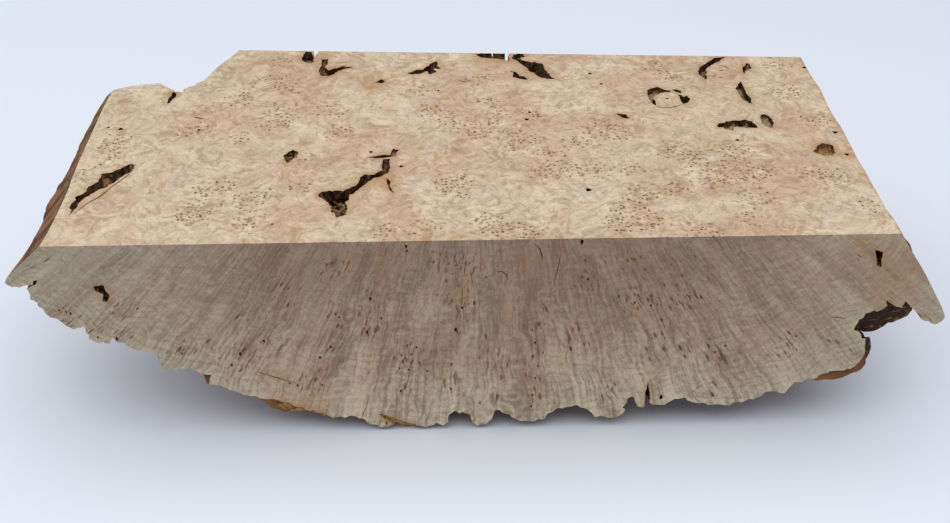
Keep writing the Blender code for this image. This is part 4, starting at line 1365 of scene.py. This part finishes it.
    # Scallops: the rings bulge outwards between the buds' creases, 24 mm apart
    scallop_place = add_node(tree, "ShaderNodeVectorMath", {"operation": "MULTIPLY"},
                             {1: (*repeats(*SCALLOP_SIZE), 0.0)}, {0: wandering})
    scallop = add_node(tree, "ShaderNodeTexVoronoi", {"voronoi_dimensions": "2D"},
                       {"Scale": 1.0, "Randomness": 0.9}, {"Vector": scallop_place})
    bulge = add_node(tree, "ShaderNodeMath", {"operation": "POWER"}, {1: 2.0},
                     {0: scallop.outputs["Distance"]})
    ring_place = add_node(tree, "ShaderNodeMath", {"operation": "MULTIPLY_ADD"},
                          {1: RING_BULGE}, {0: bulge, 2: told["growth"]})

    # Year rings: the growth in millimetres, made uneven, with a thin dark line at each year's end
    uneven = add_node(tree, "ShaderNodeTexNoise", {"noise_dimensions": "3D"},
                      {"Scale": 1.0 / RING_DRIFT_SIZE, "Detail": 2.0, "Roughness": 0.5,
                       "Distortion": 0.3}, {"Vector": spot})
    uneven = add_node(tree, "ShaderNodeMath", {"operation": "MULTIPLY_ADD"},
                      {1: RING_DRIFT}, {0: uneven, 2: ring_place})
    year = add_node(tree, "ShaderNodeMath", {"operation": "PINGPONG"},
                    {1: figure.ring_spacing / MM / 2}, {0: uneven})
    line = add_node(tree, "ShaderNodeMapRange", {"interpolation_type": "SMOOTHSTEP"},
                    {1: RING_WIDTH, 2: 0.0}, {0: year})
    faint = add_node(tree, "ShaderNodeTexNoise", {"noise_dimensions": "3D"},
                     {"Scale": 1.0 / RING_PATCH_SIZE, "Detail": 3.0, "Roughness": 0.6},
                     {"Vector": spot})
    faint = add_node(tree, "ShaderNodeMapRange", values={1: 0.40, 2: 0.60, 3: 0.0, 4: 0.9},
                     links={0: faint})
    line = add_node(tree, "ShaderNodeMath", {"operation": "MULTIPLY"}, links={0: line, 1: faint})
    end_line = add_node(tree, "ShaderNodeMapRange", values={3: 0.5, 4: 0.3},
                        links={0: middle})
    flat_line = add_node(tree, "ShaderNodeMix", {"data_type": "FLOAT"}, {2: 0.24},
                         {0: on_side, 3: end_line})
    line = add_node(tree, "ShaderNodeMath", {"operation": "MULTIPLY"},
                    links={0: line, 1: flat_line})
    wood = add_node(tree, "ShaderNodeMix", {"data_type": "RGBA"}, {7: (*figure.ring, 1.0)},
                    {0: line, 6: wood.outputs[2]})
    band = add_node(tree, "ShaderNodeMapRange", {"interpolation_type": "SMOOTHSTEP"},
                    {1: 0.0, 2: figure.ring_spacing / MM / 2, 3: 0.975, 4: 1.02}, {0: year})

    # Wisps that swirl about the buds
    curled = add_node(tree, "ShaderNodeVectorMath", {"operation": "MULTIPLY_ADD"},
                      {1: SWIRL}, {0: stray, 2: spot})
    wisp = add_node(tree, "ShaderNodeTexNoise", {"noise_dimensions": "3D"},
                    {"Scale": 1.0 / WISP_SIZE, "Detail": 6.0, "Roughness": 0.66,
                     "Distortion": 2.2},
                    {"Vector": curled})

    # Soft streaks along the rays on the front, about 1 mm wide and 25 mm long, in broader bands
    ray_place = add_node(tree, "ShaderNodeVectorMath", {"operation": "MULTIPLY"},
                         {1: (*repeats(*STREAK_SIZE), 1.0)}, {0: rays})
    streak = add_node(tree, "ShaderNodeTexNoise", {"noise_dimensions": "2D"},
                      {"Scale": 1.0, "Detail": 4.0, "Roughness": 0.6, "Distortion": 0.2},
                      {"Vector": ray_place})
    broad_place = add_node(tree, "ShaderNodeVectorMath", {"operation": "MULTIPLY"},
                           {1: (*repeats(*BAND_SIZE), 1.0)}, {0: rays})
    broad = add_node(tree, "ShaderNodeTexNoise", {"noise_dimensions": "2D"},
                     {"Scale": 1.0, "Detail": 3.0, "Roughness": 0.5, "Distortion": 0.6},
                     {"Vector": broad_place})
    side_tone = add_node(tree, "ShaderNodeMix", {"data_type": "FLOAT"}, {0: 0.45},
                         {2: streak, 3: broad})
    side_tone = add_node(tree, "ShaderNodeMix", {"data_type": "FLOAT"}, {0: 0.64},
                         {2: wisp, 3: side_tone})
    side_tone = add_node(tree, "ShaderNodeMapRange", values={1: 0.35, 2: 0.65, 3: 0.26, 4: 0.74},
                         links={0: side_tone})
    side_share = add_node(tree, "ShaderNodeMapRange", values={3: 0.5, 4: 1.0},
                          links={0: middle})
    side_tone = add_node(tree, "ShaderNodeMix", {"data_type": "FLOAT"}, {2: 0.5},
                         {0: side_share, 3: side_tone})

    # Light and dark grain: wisps on the top, streaks on the front, and the fuzz of cut fibre ends
    fuzz = add_node(tree, "ShaderNodeTexNoise", {"noise_dimensions": "3D"},
                    {"Scale": 1.0 / FUZZ_SIZE, "Detail": 3.0, "Roughness": 0.8},
                    {"Vector": spot})
    tone = add_node(tree, "ShaderNodeMix", {"data_type": "FLOAT"},
                    links={0: on_side, 2: wisp, 3: side_tone})
    fuzz_share = add_node(tree, "ShaderNodeMapRange", values={3: 0.42, 4: 0.34},
                          links={0: on_side})
    tone = add_node(tree, "ShaderNodeMix", {"data_type": "FLOAT"},
                    links={0: fuzz_share, 2: tone, 3: fuzz})
    gain = add_node(tree, "ShaderNodeMapRange", values={3: 1.75, 4: 3.0}, links={0: on_side})
    from_mean = add_node(tree, "ShaderNodeMath", {"operation": "SUBTRACT"}, {1: 0.5}, {0: tone})
    light = add_node(tree, "ShaderNodeMath", {"operation": "MULTIPLY_ADD"}, {2: 0.98},
                     {0: from_mean, 1: gain})
    light = add_node(tree, "ShaderNodeClamp", values={1: 0.6, 2: 1.3}, links={0: light})
    light = add_node(tree, "ShaderNodeMath", {"operation": "MULTIPLY"}, links={0: light, 1: band})
    # Painted shade: the front and back are darkened by a share that deepens towards their two ends
    # and is lightened towards their foot, standing in for the shade of faces that are lit less than
    # the top
    shade_painted_at_ends = add_node(tree, "ShaderNodeMapRange", {"interpolation_type": "SMOOTHSTEP"},
                         {1: 120.0, 2: 215.0, 3: SIDE_PAINTED_SHADE, 4: END_PAINTED_SHADE}, {0: from_middle})
    foot_light = add_node(tree, "ShaderNodeMath", {"operation": "MULTIPLY_ADD"},
                          {1: 0.26, 2: 1.0}, {0: foot})
    shade_painted_on_sides = add_node(tree, "ShaderNodeMath", {"operation": "MULTIPLY"},
                          links={0: shade_painted_at_ends, 1: foot_light})
    painted_shade_mix = add_node(tree, "ShaderNodeMix", {"data_type": "FLOAT"}, {2: 1.0},
                        {0: on_side, 3: shade_painted_on_sides})
    light = add_node(tree, "ShaderNodeMath", {"operation": "MULTIPLY"},
                     links={0: light, 1: painted_shade_mix})
    wood = add_node(tree, "ShaderNodeMix", {"data_type": "RGBA", "blend_type": "MULTIPLY"},
                    {0: 1.0}, {6: wood.outputs[2], 7: light})

    # The dark streaks of the front are browner than the wood between them
    smudge = add_node(tree, "ShaderNodeMapRange", {"interpolation_type": "SMOOTHSTEP"},
                      {1: 0.5, 2: 0.34, 4: 0.36}, {0: side_tone})
    smudge = add_node(tree, "ShaderNodeMath", {"operation": "MULTIPLY"},
                      links={0: smudge, 1: on_side})
    wood = add_node(tree, "ShaderNodeMix", {"data_type": "RGBA"}, {7: (*figure.ring, 1.0)},
                    {0: smudge, 6: wood.outputs[2]})

    # Peach-coloured wisps of fibres that lie flat
    flat_peach = add_node(tree, "ShaderNodeMapRange", values={3: 0.38, 4: 0.12},
                          links={0: on_side})
    peach = add_node(tree, "ShaderNodeMapRange", {"interpolation_type": "SMOOTHSTEP"},
                     {1: 0.52, 2: 0.36}, {0: wisp, 4: flat_peach})
    wood = add_node(tree, "ShaderNodeMix", {"data_type": "RGBA"}, {7: (*figure.stain, 1.0)},
                    {0: peach, 6: wood.outputs[2]})

    # Eyes: the tips of buds, 1 to 1.5 mm across, round on the top and drawn out on the front
    spacing = figure.eye_spacing / MM
    cell = add_node(tree, "ShaderNodeTexVoronoi", {"voronoi_dimensions": "2D"},
                    {"Scale": 1.0 / spacing, "Randomness": 1.0}, {"Vector": fan})
    chance = add_node(tree, "ShaderNodeSeparateColor", links={0: cell.outputs["Color"]})
    crowd = add_node(tree, "ShaderNodeMapRange", values={1: 0.2, 2: 0.9, 4: 0.9},
                     links={0: told["eyes"]})
    wanted = add_node(tree, "ShaderNodeMath", {"operation": "LESS_THAN"},
                      links={0: chance.outputs[0], 1: crowd})
    radius = add_node(tree, "ShaderNodeMapRange",
                      values={3: 0.4 / spacing, 4: 1.0 / spacing},
                      links={0: chance.outputs[1]})
    slimmer = add_node(tree, "ShaderNodeMapRange", values={3: 1.0, 4: 0.7},
                       links={0: on_side})
    radius = add_node(tree, "ShaderNodeMath", {"operation": "MULTIPLY"},
                      links={0: radius, 1: slimmer})
    from_eye = add_node(tree, "ShaderNodeMath", {"operation": "DIVIDE"},
                        links={0: cell.outputs["Distance"], 1: radius})
    core = add_node(tree, "ShaderNodeMapRange", {"interpolation_type": "SMOOTHSTEP"},
                    {1: 1.1, 2: 0.4}, {0: from_eye})
    core = add_node(tree, "ShaderNodeMath", {"operation": "MULTIPLY"},
                    links={0: core, 1: wanted})
    strength = add_node(tree, "ShaderNodeMapRange", values={3: 0.35, 4: 1.0},
                        links={0: chance.outputs[2]})
    core = add_node(tree, "ShaderNodeMath", {"operation": "MULTIPLY"},
                    links={0: core, 1: strength})
    halo = add_node(tree, "ShaderNodeMapRange", {"interpolation_type": "SMOOTHSTEP"},
                    {1: 2.8, 2: 1.0}, {0: from_eye})
    halo = add_node(tree, "ShaderNodeMath", {"operation": "MULTIPLY"},
                    links={0: halo, 1: wanted})
    halo = add_node(tree, "ShaderNodeMath", {"operation": "MULTIPLY"}, {1: 0.22}, {0: halo})
    wood = add_node(tree, "ShaderNodeMix", {"data_type": "RGBA"}, {7: (*figure.stain, 1.0)},
                    {0: halo, 6: wood.outputs[2]})
    wood = add_node(tree, "ShaderNodeMix", {"data_type": "RGBA"}, {7: (*figure.eye, 1.0)},
                    {0: core, 6: wood.outputs[2]})

    # Knots: a few larger buds among the eyes, 2 to 3 mm across, soft and reddish brown
    knot_cell = add_node(tree, "ShaderNodeTexVoronoi", {"voronoi_dimensions": "2D"},
                         {"Scale": 1.0 / KNOT_SPACING, "Randomness": 1.0}, {"Vector": fan})
    knot_chance = add_node(tree, "ShaderNodeSeparateColor",
                           links={0: knot_cell.outputs["Color"]})
    knot_crowd = add_node(tree, "ShaderNodeMath", {"operation": "MULTIPLY"}, {1: 0.6},
                          {0: crowd})
    knot_wanted = add_node(tree, "ShaderNodeMath", {"operation": "LESS_THAN"},
                           links={0: knot_chance.outputs[0], 1: knot_crowd})
    knot_radius = add_node(tree, "ShaderNodeMapRange",
                           values={3: 0.8 / KNOT_SPACING, 4: 1.7 / KNOT_SPACING},
                           links={0: knot_chance.outputs[1]})
    from_knot = add_node(tree, "ShaderNodeMath", {"operation": "DIVIDE"},
                         links={0: knot_cell.outputs["Distance"], 1: knot_radius})
    knot = add_node(tree, "ShaderNodeMapRange", {"interpolation_type": "SMOOTHSTEP"},
                    {1: 1.3, 2: 0.2, 4: 0.7}, {0: from_knot})
    knot = add_node(tree, "ShaderNodeMath", {"operation": "MULTIPLY"},
                    links={0: knot, 1: knot_wanted})
    on_top = add_node(tree, "ShaderNodeMapRange", values={3: 1.0, 4: 0.0}, links={0: on_side})
    knot = add_node(tree, "ShaderNodeMath", {"operation": "MULTIPLY"},
                    links={0: knot, 1: on_top})
    wood = add_node(tree, "ShaderNodeMix", {"data_type": "RGBA"}, {7: (*figure.knot, 1.0)},
                    {0: knot, 6: wood.outputs[2]})

    # Dark flecks on the front: buds cut lengthwise, under 1 mm wide and 5 mm long
    fleck_place = add_node(tree, "ShaderNodeVectorMath", {"operation": "MULTIPLY"},
                           {1: (*repeats(*FLECK_SIZE), 1.0)}, {0: rays})
    fleck = add_node(tree, "ShaderNodeTexNoise", {"noise_dimensions": "2D"},
                     {"Scale": 1.0, "Detail": 2.0, "Roughness": 0.5}, {"Vector": fleck_place})
    fleck = add_node(tree, "ShaderNodeMapRange", {"interpolation_type": "SMOOTHSTEP"},
                     {1: 0.57, 2: 0.68, 4: 0.85}, {0: fleck})
    fleck_share = add_node(tree, "ShaderNodeMath", {"operation": "MULTIPLY", "use_clamp": True},
                           links={0: told["eyes"], 1: on_side})
    fleck = add_node(tree, "ShaderNodeMath", {"operation": "MULTIPLY"},
                     links={0: fleck, 1: fleck_share})
    wood = add_node(tree, "ShaderNodeMix", {"data_type": "RGBA"}, {7: (*figure.eye, 1.0)},
                    {0: fleck, 6: wood.outputs[2]})

    # Orange brown stain beside bark
    patchy = add_node(tree, "ShaderNodeTexNoise", {"noise_dimensions": "3D"},
                      {"Scale": 1.0 / STAIN_SIZE, "Detail": 4.0, "Roughness": 0.6},
                      {"Vector": spot})
    patchy_gap = add_node(tree, "ShaderNodeMath", {"operation": "MULTIPLY_ADD"},
                          {1: 7.0, 2: -3.5}, {0: patchy})
    uneven_gap = add_node(tree, "ShaderNodeMath", {"operation": "ADD"},
                          links={0: patchy_gap, 1: told["gap"]})
    beside = add_node(tree, "ShaderNodeMapRange", {"interpolation_type": "SMOOTHSTEP"},
                      {1: 4.0, 2: 0.0, 4: 0.35}, {0: uneven_gap})
    tinted = add_node(tree, "ShaderNodeMapRange", values={1: 0.3, 2: 0.65, 3: 0.3, 4: 1.0},
                      links={0: patchy})
    tinted = add_node(tree, "ShaderNodeMath", {"operation": "MULTIPLY_ADD"},
                      links={0: tinted, 1: told["tint"], 2: beside})
    tinted = add_node(tree, "ShaderNodeMath", {"operation": "MINIMUM"}, {1: 0.85}, {0: tinted})
    wood = add_node(tree, "ShaderNodeMix", {"data_type": "RGBA"}, {7: (*figure.stain, 1.0)},
                    {0: tinted, 6: wood.outputs[2]})
    tree.links.new(wood.outputs[2], shader.inputs["Base Color"])

    relief = add_node(tree, "ShaderNodeMath", {"operation": "MULTIPLY_ADD"}, {1: -0.4},
                      {0: core, 2: tone})
    bump = add_node(tree, "ShaderNodeBump", values={"Strength": 0.5, "Distance": 0.25 * MM},
                    links={"Height": relief})
    tree.links.new(bump.outputs[0], shader.inputs["Normal"])
    return material


def grown_burl(figure):
    """The burl's own surface, with most of its bark gone, as it grew.

    The eye sees golden brown ridges with fine stripes, and nearly black bark left in the creases
    and behind the notch.
    """
    material, tree, shader = new_material(GROWN, 0.85)
    shader.inputs["Specular IOR Level"].default_value = 0.15
    spot = in_millimetres(tree)
    patch = add_node(tree, "ShaderNodeTexNoise", {"noise_dimensions": "3D"},
                     {"Scale": 1.0 / BARK_PATCH_SIZE, "Detail": 4.0, "Roughness": 0.6,
                      "Distortion": 0.8},
                     {"Vector": spot})
    barky = add_node(tree, "ShaderNodeMapRange", {"interpolation_type": "SMOOTHSTEP"},
                     {1: 0.4, 2: 0.58}, {0: patch})
    wood = add_node(tree, "ShaderNodeMix", {"data_type": "RGBA"},
                    {6: (*figure.ridge, 1.0), 7: (*figure.bark, 1.0)}, {0: barky})
    stripe_place = add_node(tree, "ShaderNodeMapping", {"vector_type": "POINT"},
                            {"Scale": repeats(*STRIPE_SIZE)}, {"Vector": spot})
    stripe = add_node(tree, "ShaderNodeTexNoise", {"noise_dimensions": "3D"},
                      {"Scale": 1.0, "Detail": 4.0, "Roughness": 0.65, "Distortion": 0.3},
                      {"Vector": stripe_place})
    shade = add_node(tree, "ShaderNodeMapRange", values={1: 0.3, 2: 0.7, 3: 0.6, 4: 1.25},
                     links={0: stripe})
    wood = add_node(tree, "ShaderNodeMix", {"data_type": "RGBA", "blend_type": "MULTIPLY"},
                    {0: 1.0}, {6: wood.outputs[2], 7: shade})
    facing = add_node(tree, "ShaderNodeNewGeometry")
    crease = add_node(tree, "ShaderNodeMapRange", {"interpolation_type": "SMOOTHSTEP"},
                      {1: 0.5, 2: 0.42}, {0: facing.outputs["Pointiness"]})
    notch = add_node(tree, "ShaderNodeAttribute", {"attribute_name": "notch"})
    crumbs = add_node(tree, "ShaderNodeTexNoise", {"noise_dimensions": "3D"},
                      {"Scale": 1.0 / NOTCH_CRUMB_SIZE, "Detail": 4.0, "Roughness": 0.6},
                      {"Vector": spot})
    black = add_node(tree, "ShaderNodeMapRange", {"interpolation_type": "SMOOTHSTEP"},
                     {1: 0.62, 2: 0.53}, {0: crumbs})
    lined = add_node(tree, "ShaderNodeMath", {"operation": "MULTIPLY"},
                     links={0: notch.outputs["Fac"], 1: black})
    dark = add_node(tree, "ShaderNodeMath", {"operation": "ADD", "use_clamp": True},
                    links={0: crease, 1: lined})
    dark = add_node(tree, "ShaderNodeMath", {"operation": "MULTIPLY"}, {1: 0.9}, {0: dark})
    wood = add_node(tree, "ShaderNodeMix", {"data_type": "RGBA"}, {7: (*figure.crevice, 1.0)},
                    {0: dark, 6: wood.outputs[2]})
    gold = add_node(tree, "ShaderNodeAttribute", {"attribute_name": "gold"})
    chip = add_node(tree, "ShaderNodeMath", {"operation": "MULTIPLY", "use_clamp": True},
                    links={0: gold.outputs["Fac"], 1: shade})
    chip = add_node(tree, "ShaderNodeMath", {"operation": "MULTIPLY"}, {1: 0.8}, {0: chip})
    wood = add_node(tree, "ShaderNodeMix", {"data_type": "RGBA"}, {7: (*figure.chip, 1.0)},
                    {0: chip, 6: wood.outputs[2]})
    tree.links.new(wood.outputs[2], shader.inputs["Base Color"])
    grit = add_node(tree, "ShaderNodeTexNoise", {"noise_dimensions": "3D"},
                    {"Scale": 1.0 / GRIT_SIZE, "Detail": 5.0, "Roughness": 0.7},
                    {"Vector": spot})
    relief = add_node(tree, "ShaderNodeMath", {"operation": "ADD"}, links={0: grit, 1: stripe})
    bump = add_node(tree, "ShaderNodeBump", values={"Strength": 0.8, "Distance": 0.8 * MM},
                    links={"Height": relief})
    tree.links.new(bump.outputs[0], shader.inputs["Normal"])
    return material


def pocket_bark(figure):
    """Bark that the wood grew over, crumbled and torn open by the saw.

    The eye sees nearly black walls with golden brown crumbs or bare wood between them.
    """
    material, tree, shader = new_material(POCKET, 0.9)
    shader.inputs["Specular IOR Level"].default_value = 0.15
    spot = in_millimetres(tree)
    crumbs = add_node(tree, "ShaderNodeTexNoise", {"noise_dimensions": "3D"},
                      {"Scale": 1.0 / CRUMB_SIZE, "Detail": 5.0, "Roughness": 0.65,
                       "Distortion": 0.9},
                      {"Vector": spot})
    brown = add_node(tree, "ShaderNodeMapRange", {"interpolation_type": "SMOOTHSTEP"},
                     {1: 0.38, 2: 0.58}, {0: crumbs})
    facing = add_node(tree, "ShaderNodeNewGeometry")
    facing_axes = add_node(tree, "ShaderNodeSeparateXYZ",
                           links={0: facing.outputs["True Normal"]})
    up = facing_axes.outputs[2]
    place = add_node(tree, "ShaderNodeSeparateXYZ", links={0: spot})
    behind, before = (depth - HALF_DEPTH for depth in FRONT_POCKET_RANGE)
    in_front = add_node(tree, "ShaderNodeMapRange",
                        values={1: behind, 2: before, 3: 0.0, 4: -1.0},
                        links={0: place.outputs[1]})
    forward = add_node(tree, "ShaderNodeMath", {"operation": "MULTIPLY"},
                       links={0: in_front, 1: facing_axes.outputs[1]})
    open_side = add_node(tree, "ShaderNodeMath", {"operation": "MAXIMUM"},
                         links={0: up, 1: forward})
    on_floor = add_node(tree, "ShaderNodeMapRange", {"interpolation_type": "SMOOTHSTEP"},
                        {1: 0.15, 2: 0.6, 3: 0.22, 4: 1.0}, {0: open_side})
    brown = add_node(tree, "ShaderNodeMath", {"operation": "MULTIPLY"},
                     links={0: brown, 1: on_floor})
    bark = add_node(tree, "ShaderNodeMix", {"data_type": "RGBA"},
                    {6: (*figure.crevice, 1.0), 7: (*figure.pocket, 1.0)}, {0: brown})
    bare = add_node(tree, "ShaderNodeAttribute", {"attribute_name": "bare"})
    level = add_node(tree, "ShaderNodeMapRange", {"interpolation_type": "SMOOTHSTEP"},
                     {1: 0.55, 2: 0.85}, {0: up})
    bare_share = add_node(tree, "ShaderNodeMath", {"operation": "MULTIPLY"},
                          links={0: bare.outputs["Fac"], 1: level})
    bark = add_node(tree, "ShaderNodeMix", {"data_type": "RGBA"}, {7: (*figure.bare, 1.0)},
                    {0: bare_share, 6: bark.outputs[2]})
    gold = add_node(tree, "ShaderNodeAttribute", {"attribute_name": "gold"})
    gold_patch = add_node(tree, "ShaderNodeMapRange", {"interpolation_type": "SMOOTHSTEP"},
                          {1: 0.38, 2: 0.5, 3: 0.35, 4: 0.9}, {0: crumbs})
    gold_share = add_node(tree, "ShaderNodeMath", {"operation": "MULTIPLY"},
                          links={0: gold.outputs["Fac"], 1: gold_patch})
    bark = add_node(tree, "ShaderNodeMix", {"data_type": "RGBA"}, {7: (*figure.golden, 1.0)},
                    {0: gold_share, 6: bark.outputs[2]})
    fine = add_node(tree, "ShaderNodeTexNoise", {"noise_dimensions": "3D"},
                    {"Scale": 1.0 / DUST_SIZE, "Detail": 4.0, "Roughness": 0.7},
                    {"Vector": spot})
    shade = add_node(tree, "ShaderNodeMapRange", values={1: 0.35, 2: 0.65, 3: 0.5, 4: 1.4},
                     links={0: fine})
    bark = add_node(tree, "ShaderNodeMix", {"data_type": "RGBA", "blend_type": "MULTIPLY"},
                    {0: 1.0}, {6: bark.outputs[2], 7: shade})
    tree.links.new(bark.outputs[2], shader.inputs["Base Color"])
    bump = add_node(tree, "ShaderNodeBump", values={"Strength": 1.0, "Distance": 1.2 * MM},
                    links={"Height": crumbs})
    tree.links.new(bump.outputs[0], shader.inputs["Normal"])
    return material


class BURL_OT_mix_finishes(bpy.types.Operator):
    """Mix the three finishes of the block: sawn wood, grown surface and bark in pockets"""

    bl_idname = "burl.mix_finishes"
    bl_label = "Mix the finishes"
    bl_options = {"REGISTER", "UNDO"}

    def execute(self, context):
        figure = context.scene.burl_figure
        sawn_burl(figure)
        grown_burl(figure)
        pocket_bark(figure)
        return {"FINISHED"}


class BURL_OT_draw_figure(bpy.types.Operator):
    """Work out the figure of the wood at each point of the block"""

    bl_idname = "burl.draw_figure"
    bl_label = "Draw the figure"
    bl_options = {"REGISTER", "UNDO"}

    def execute(self, context):
        block = bpy.data.objects[BLOCK]
        work_out_figure(block, context.scene.burl_shape)
        select_only(block)
        bpy.ops.object.shade_smooth_by_angle(angle=math.radians(SHARP_ANGLE))
        return {"FINISHED"}


def table_paint(stage):
    """Painted board, rolled and matt: an even pale cool grey with a soft sheen."""
    material, tree, shader = new_material("table_painted_board", 0.55)
    shader.inputs["Base Color"].default_value = (*stage.floor, 1.0)
    return material


class BURL_OT_stage(bpy.types.Operator):
    """Lay the pale floor, hang the soft lamp and set the camera"""

    bl_idname = "burl.stage"
    bl_label = "Set the stage"
    bl_options = {"REGISTER", "UNDO"}

    def execute(self, context):
        stage = context.scene.burl_stage
        deselect_all()
        bpy.ops.mesh.primitive_plane_add(size=TABLE_SIZE)
        floor = context.object
        floor.name = floor.data.name = "table_floor"
        floor.data.materials.append(table_paint(stage))

        world = bpy.data.worlds.new("soft_room")
        world.use_nodes = True
        sky = world.node_tree.nodes["Background"]
        sky.inputs["Color"].default_value = (*stage.room, 1.0)
        sky.inputs["Strength"].default_value = stage.sky_strength
        context.scene.world = world

        lamp = bpy.data.lights.new("ceiling_softbox", "AREA")
        lamp.shape = "RECTANGLE"
        lamp.size, lamp.size_y = LAMP_SIZE
        lamp.color = stage.light
        lamp.energy = stage.lamp_power
        lamp_object = bpy.data.objects.new("ceiling_softbox", lamp)
        lamp_object.matrix_world = Matrix.Translation(LAMP_PLACE)
        context.scene.collection.objects.link(lamp_object)

        camera = bpy.data.cameras.new("photo_camera")
        camera.sensor_width = 36.0
        camera.lens = stage.lens
        camera.clip_start = 0.01
        camera.clip_end = 50.0
        camera_object = bpy.data.objects.new("photo_camera", camera)
        aim = Euler((math.radians(90.0 - CAMERA_TILT), 0.0, math.radians(CAMERA_TURN)))
        camera_object.matrix_world = Matrix.LocRotScale(Vector(CAMERA_PLACE) * MM, aim, None)
        context.scene.collection.objects.link(camera_object)
        context.scene.camera = camera_object
        context.scene.view_settings.view_transform = "Standard"
        return {"FINISHED"}


class BURL_PT_panel(bpy.types.Panel):
    """Lists the steps of making the burl block"""

    bl_idname = "BURL_PT_panel"
    bl_label = "Burl block"
    bl_space_type = "VIEW_3D"
    bl_region_type = "UI"
    bl_category = "Burl"

    def draw(self, context):
        for settings in ("burl_shape", "burl_figure", "burl_stage"):
            group = getattr(context.scene, settings)
            column = self.layout.column(align=True)
            for name in group.__annotations__:
                column.prop(group, name)
        for step in STEPS:
            self.layout.operator(step.bl_idname)


SETTINGS = (
    ("burl_shape", BurlShapeSettings),
    ("burl_figure", BurlFigureSettings),
    ("burl_stage", BurlStageSettings),
)
STEPS = (BURL_OT_mix_finishes, BURL_OT_saw_block, BURL_OT_cut_pockets, BURL_OT_draw_figure,
         BURL_OT_stage)


def register():
    for name, group in SETTINGS:
        bpy.utils.register_class(group)
        setattr(bpy.types.Scene, name, PointerProperty(type=group))
    for item in (*STEPS, BURL_PT_panel):
        bpy.utils.register_class(item)


def unregister():
    for item in (BURL_PT_panel, *reversed(STEPS)):
        bpy.utils.unregister_class(item)
    for name, group in reversed(SETTINGS):
        delattr(bpy.types.Scene, name)
        bpy.utils.unregister_class(group)


def main():
    register()
    bpy.ops.burl.mix_finishes()
    bpy.ops.burl.saw_block()
    bpy.ops.burl.cut_pockets()
    bpy.ops.burl.draw_figure()
    bpy.ops.burl.stage()


if __name__ == "__main__":
    main()
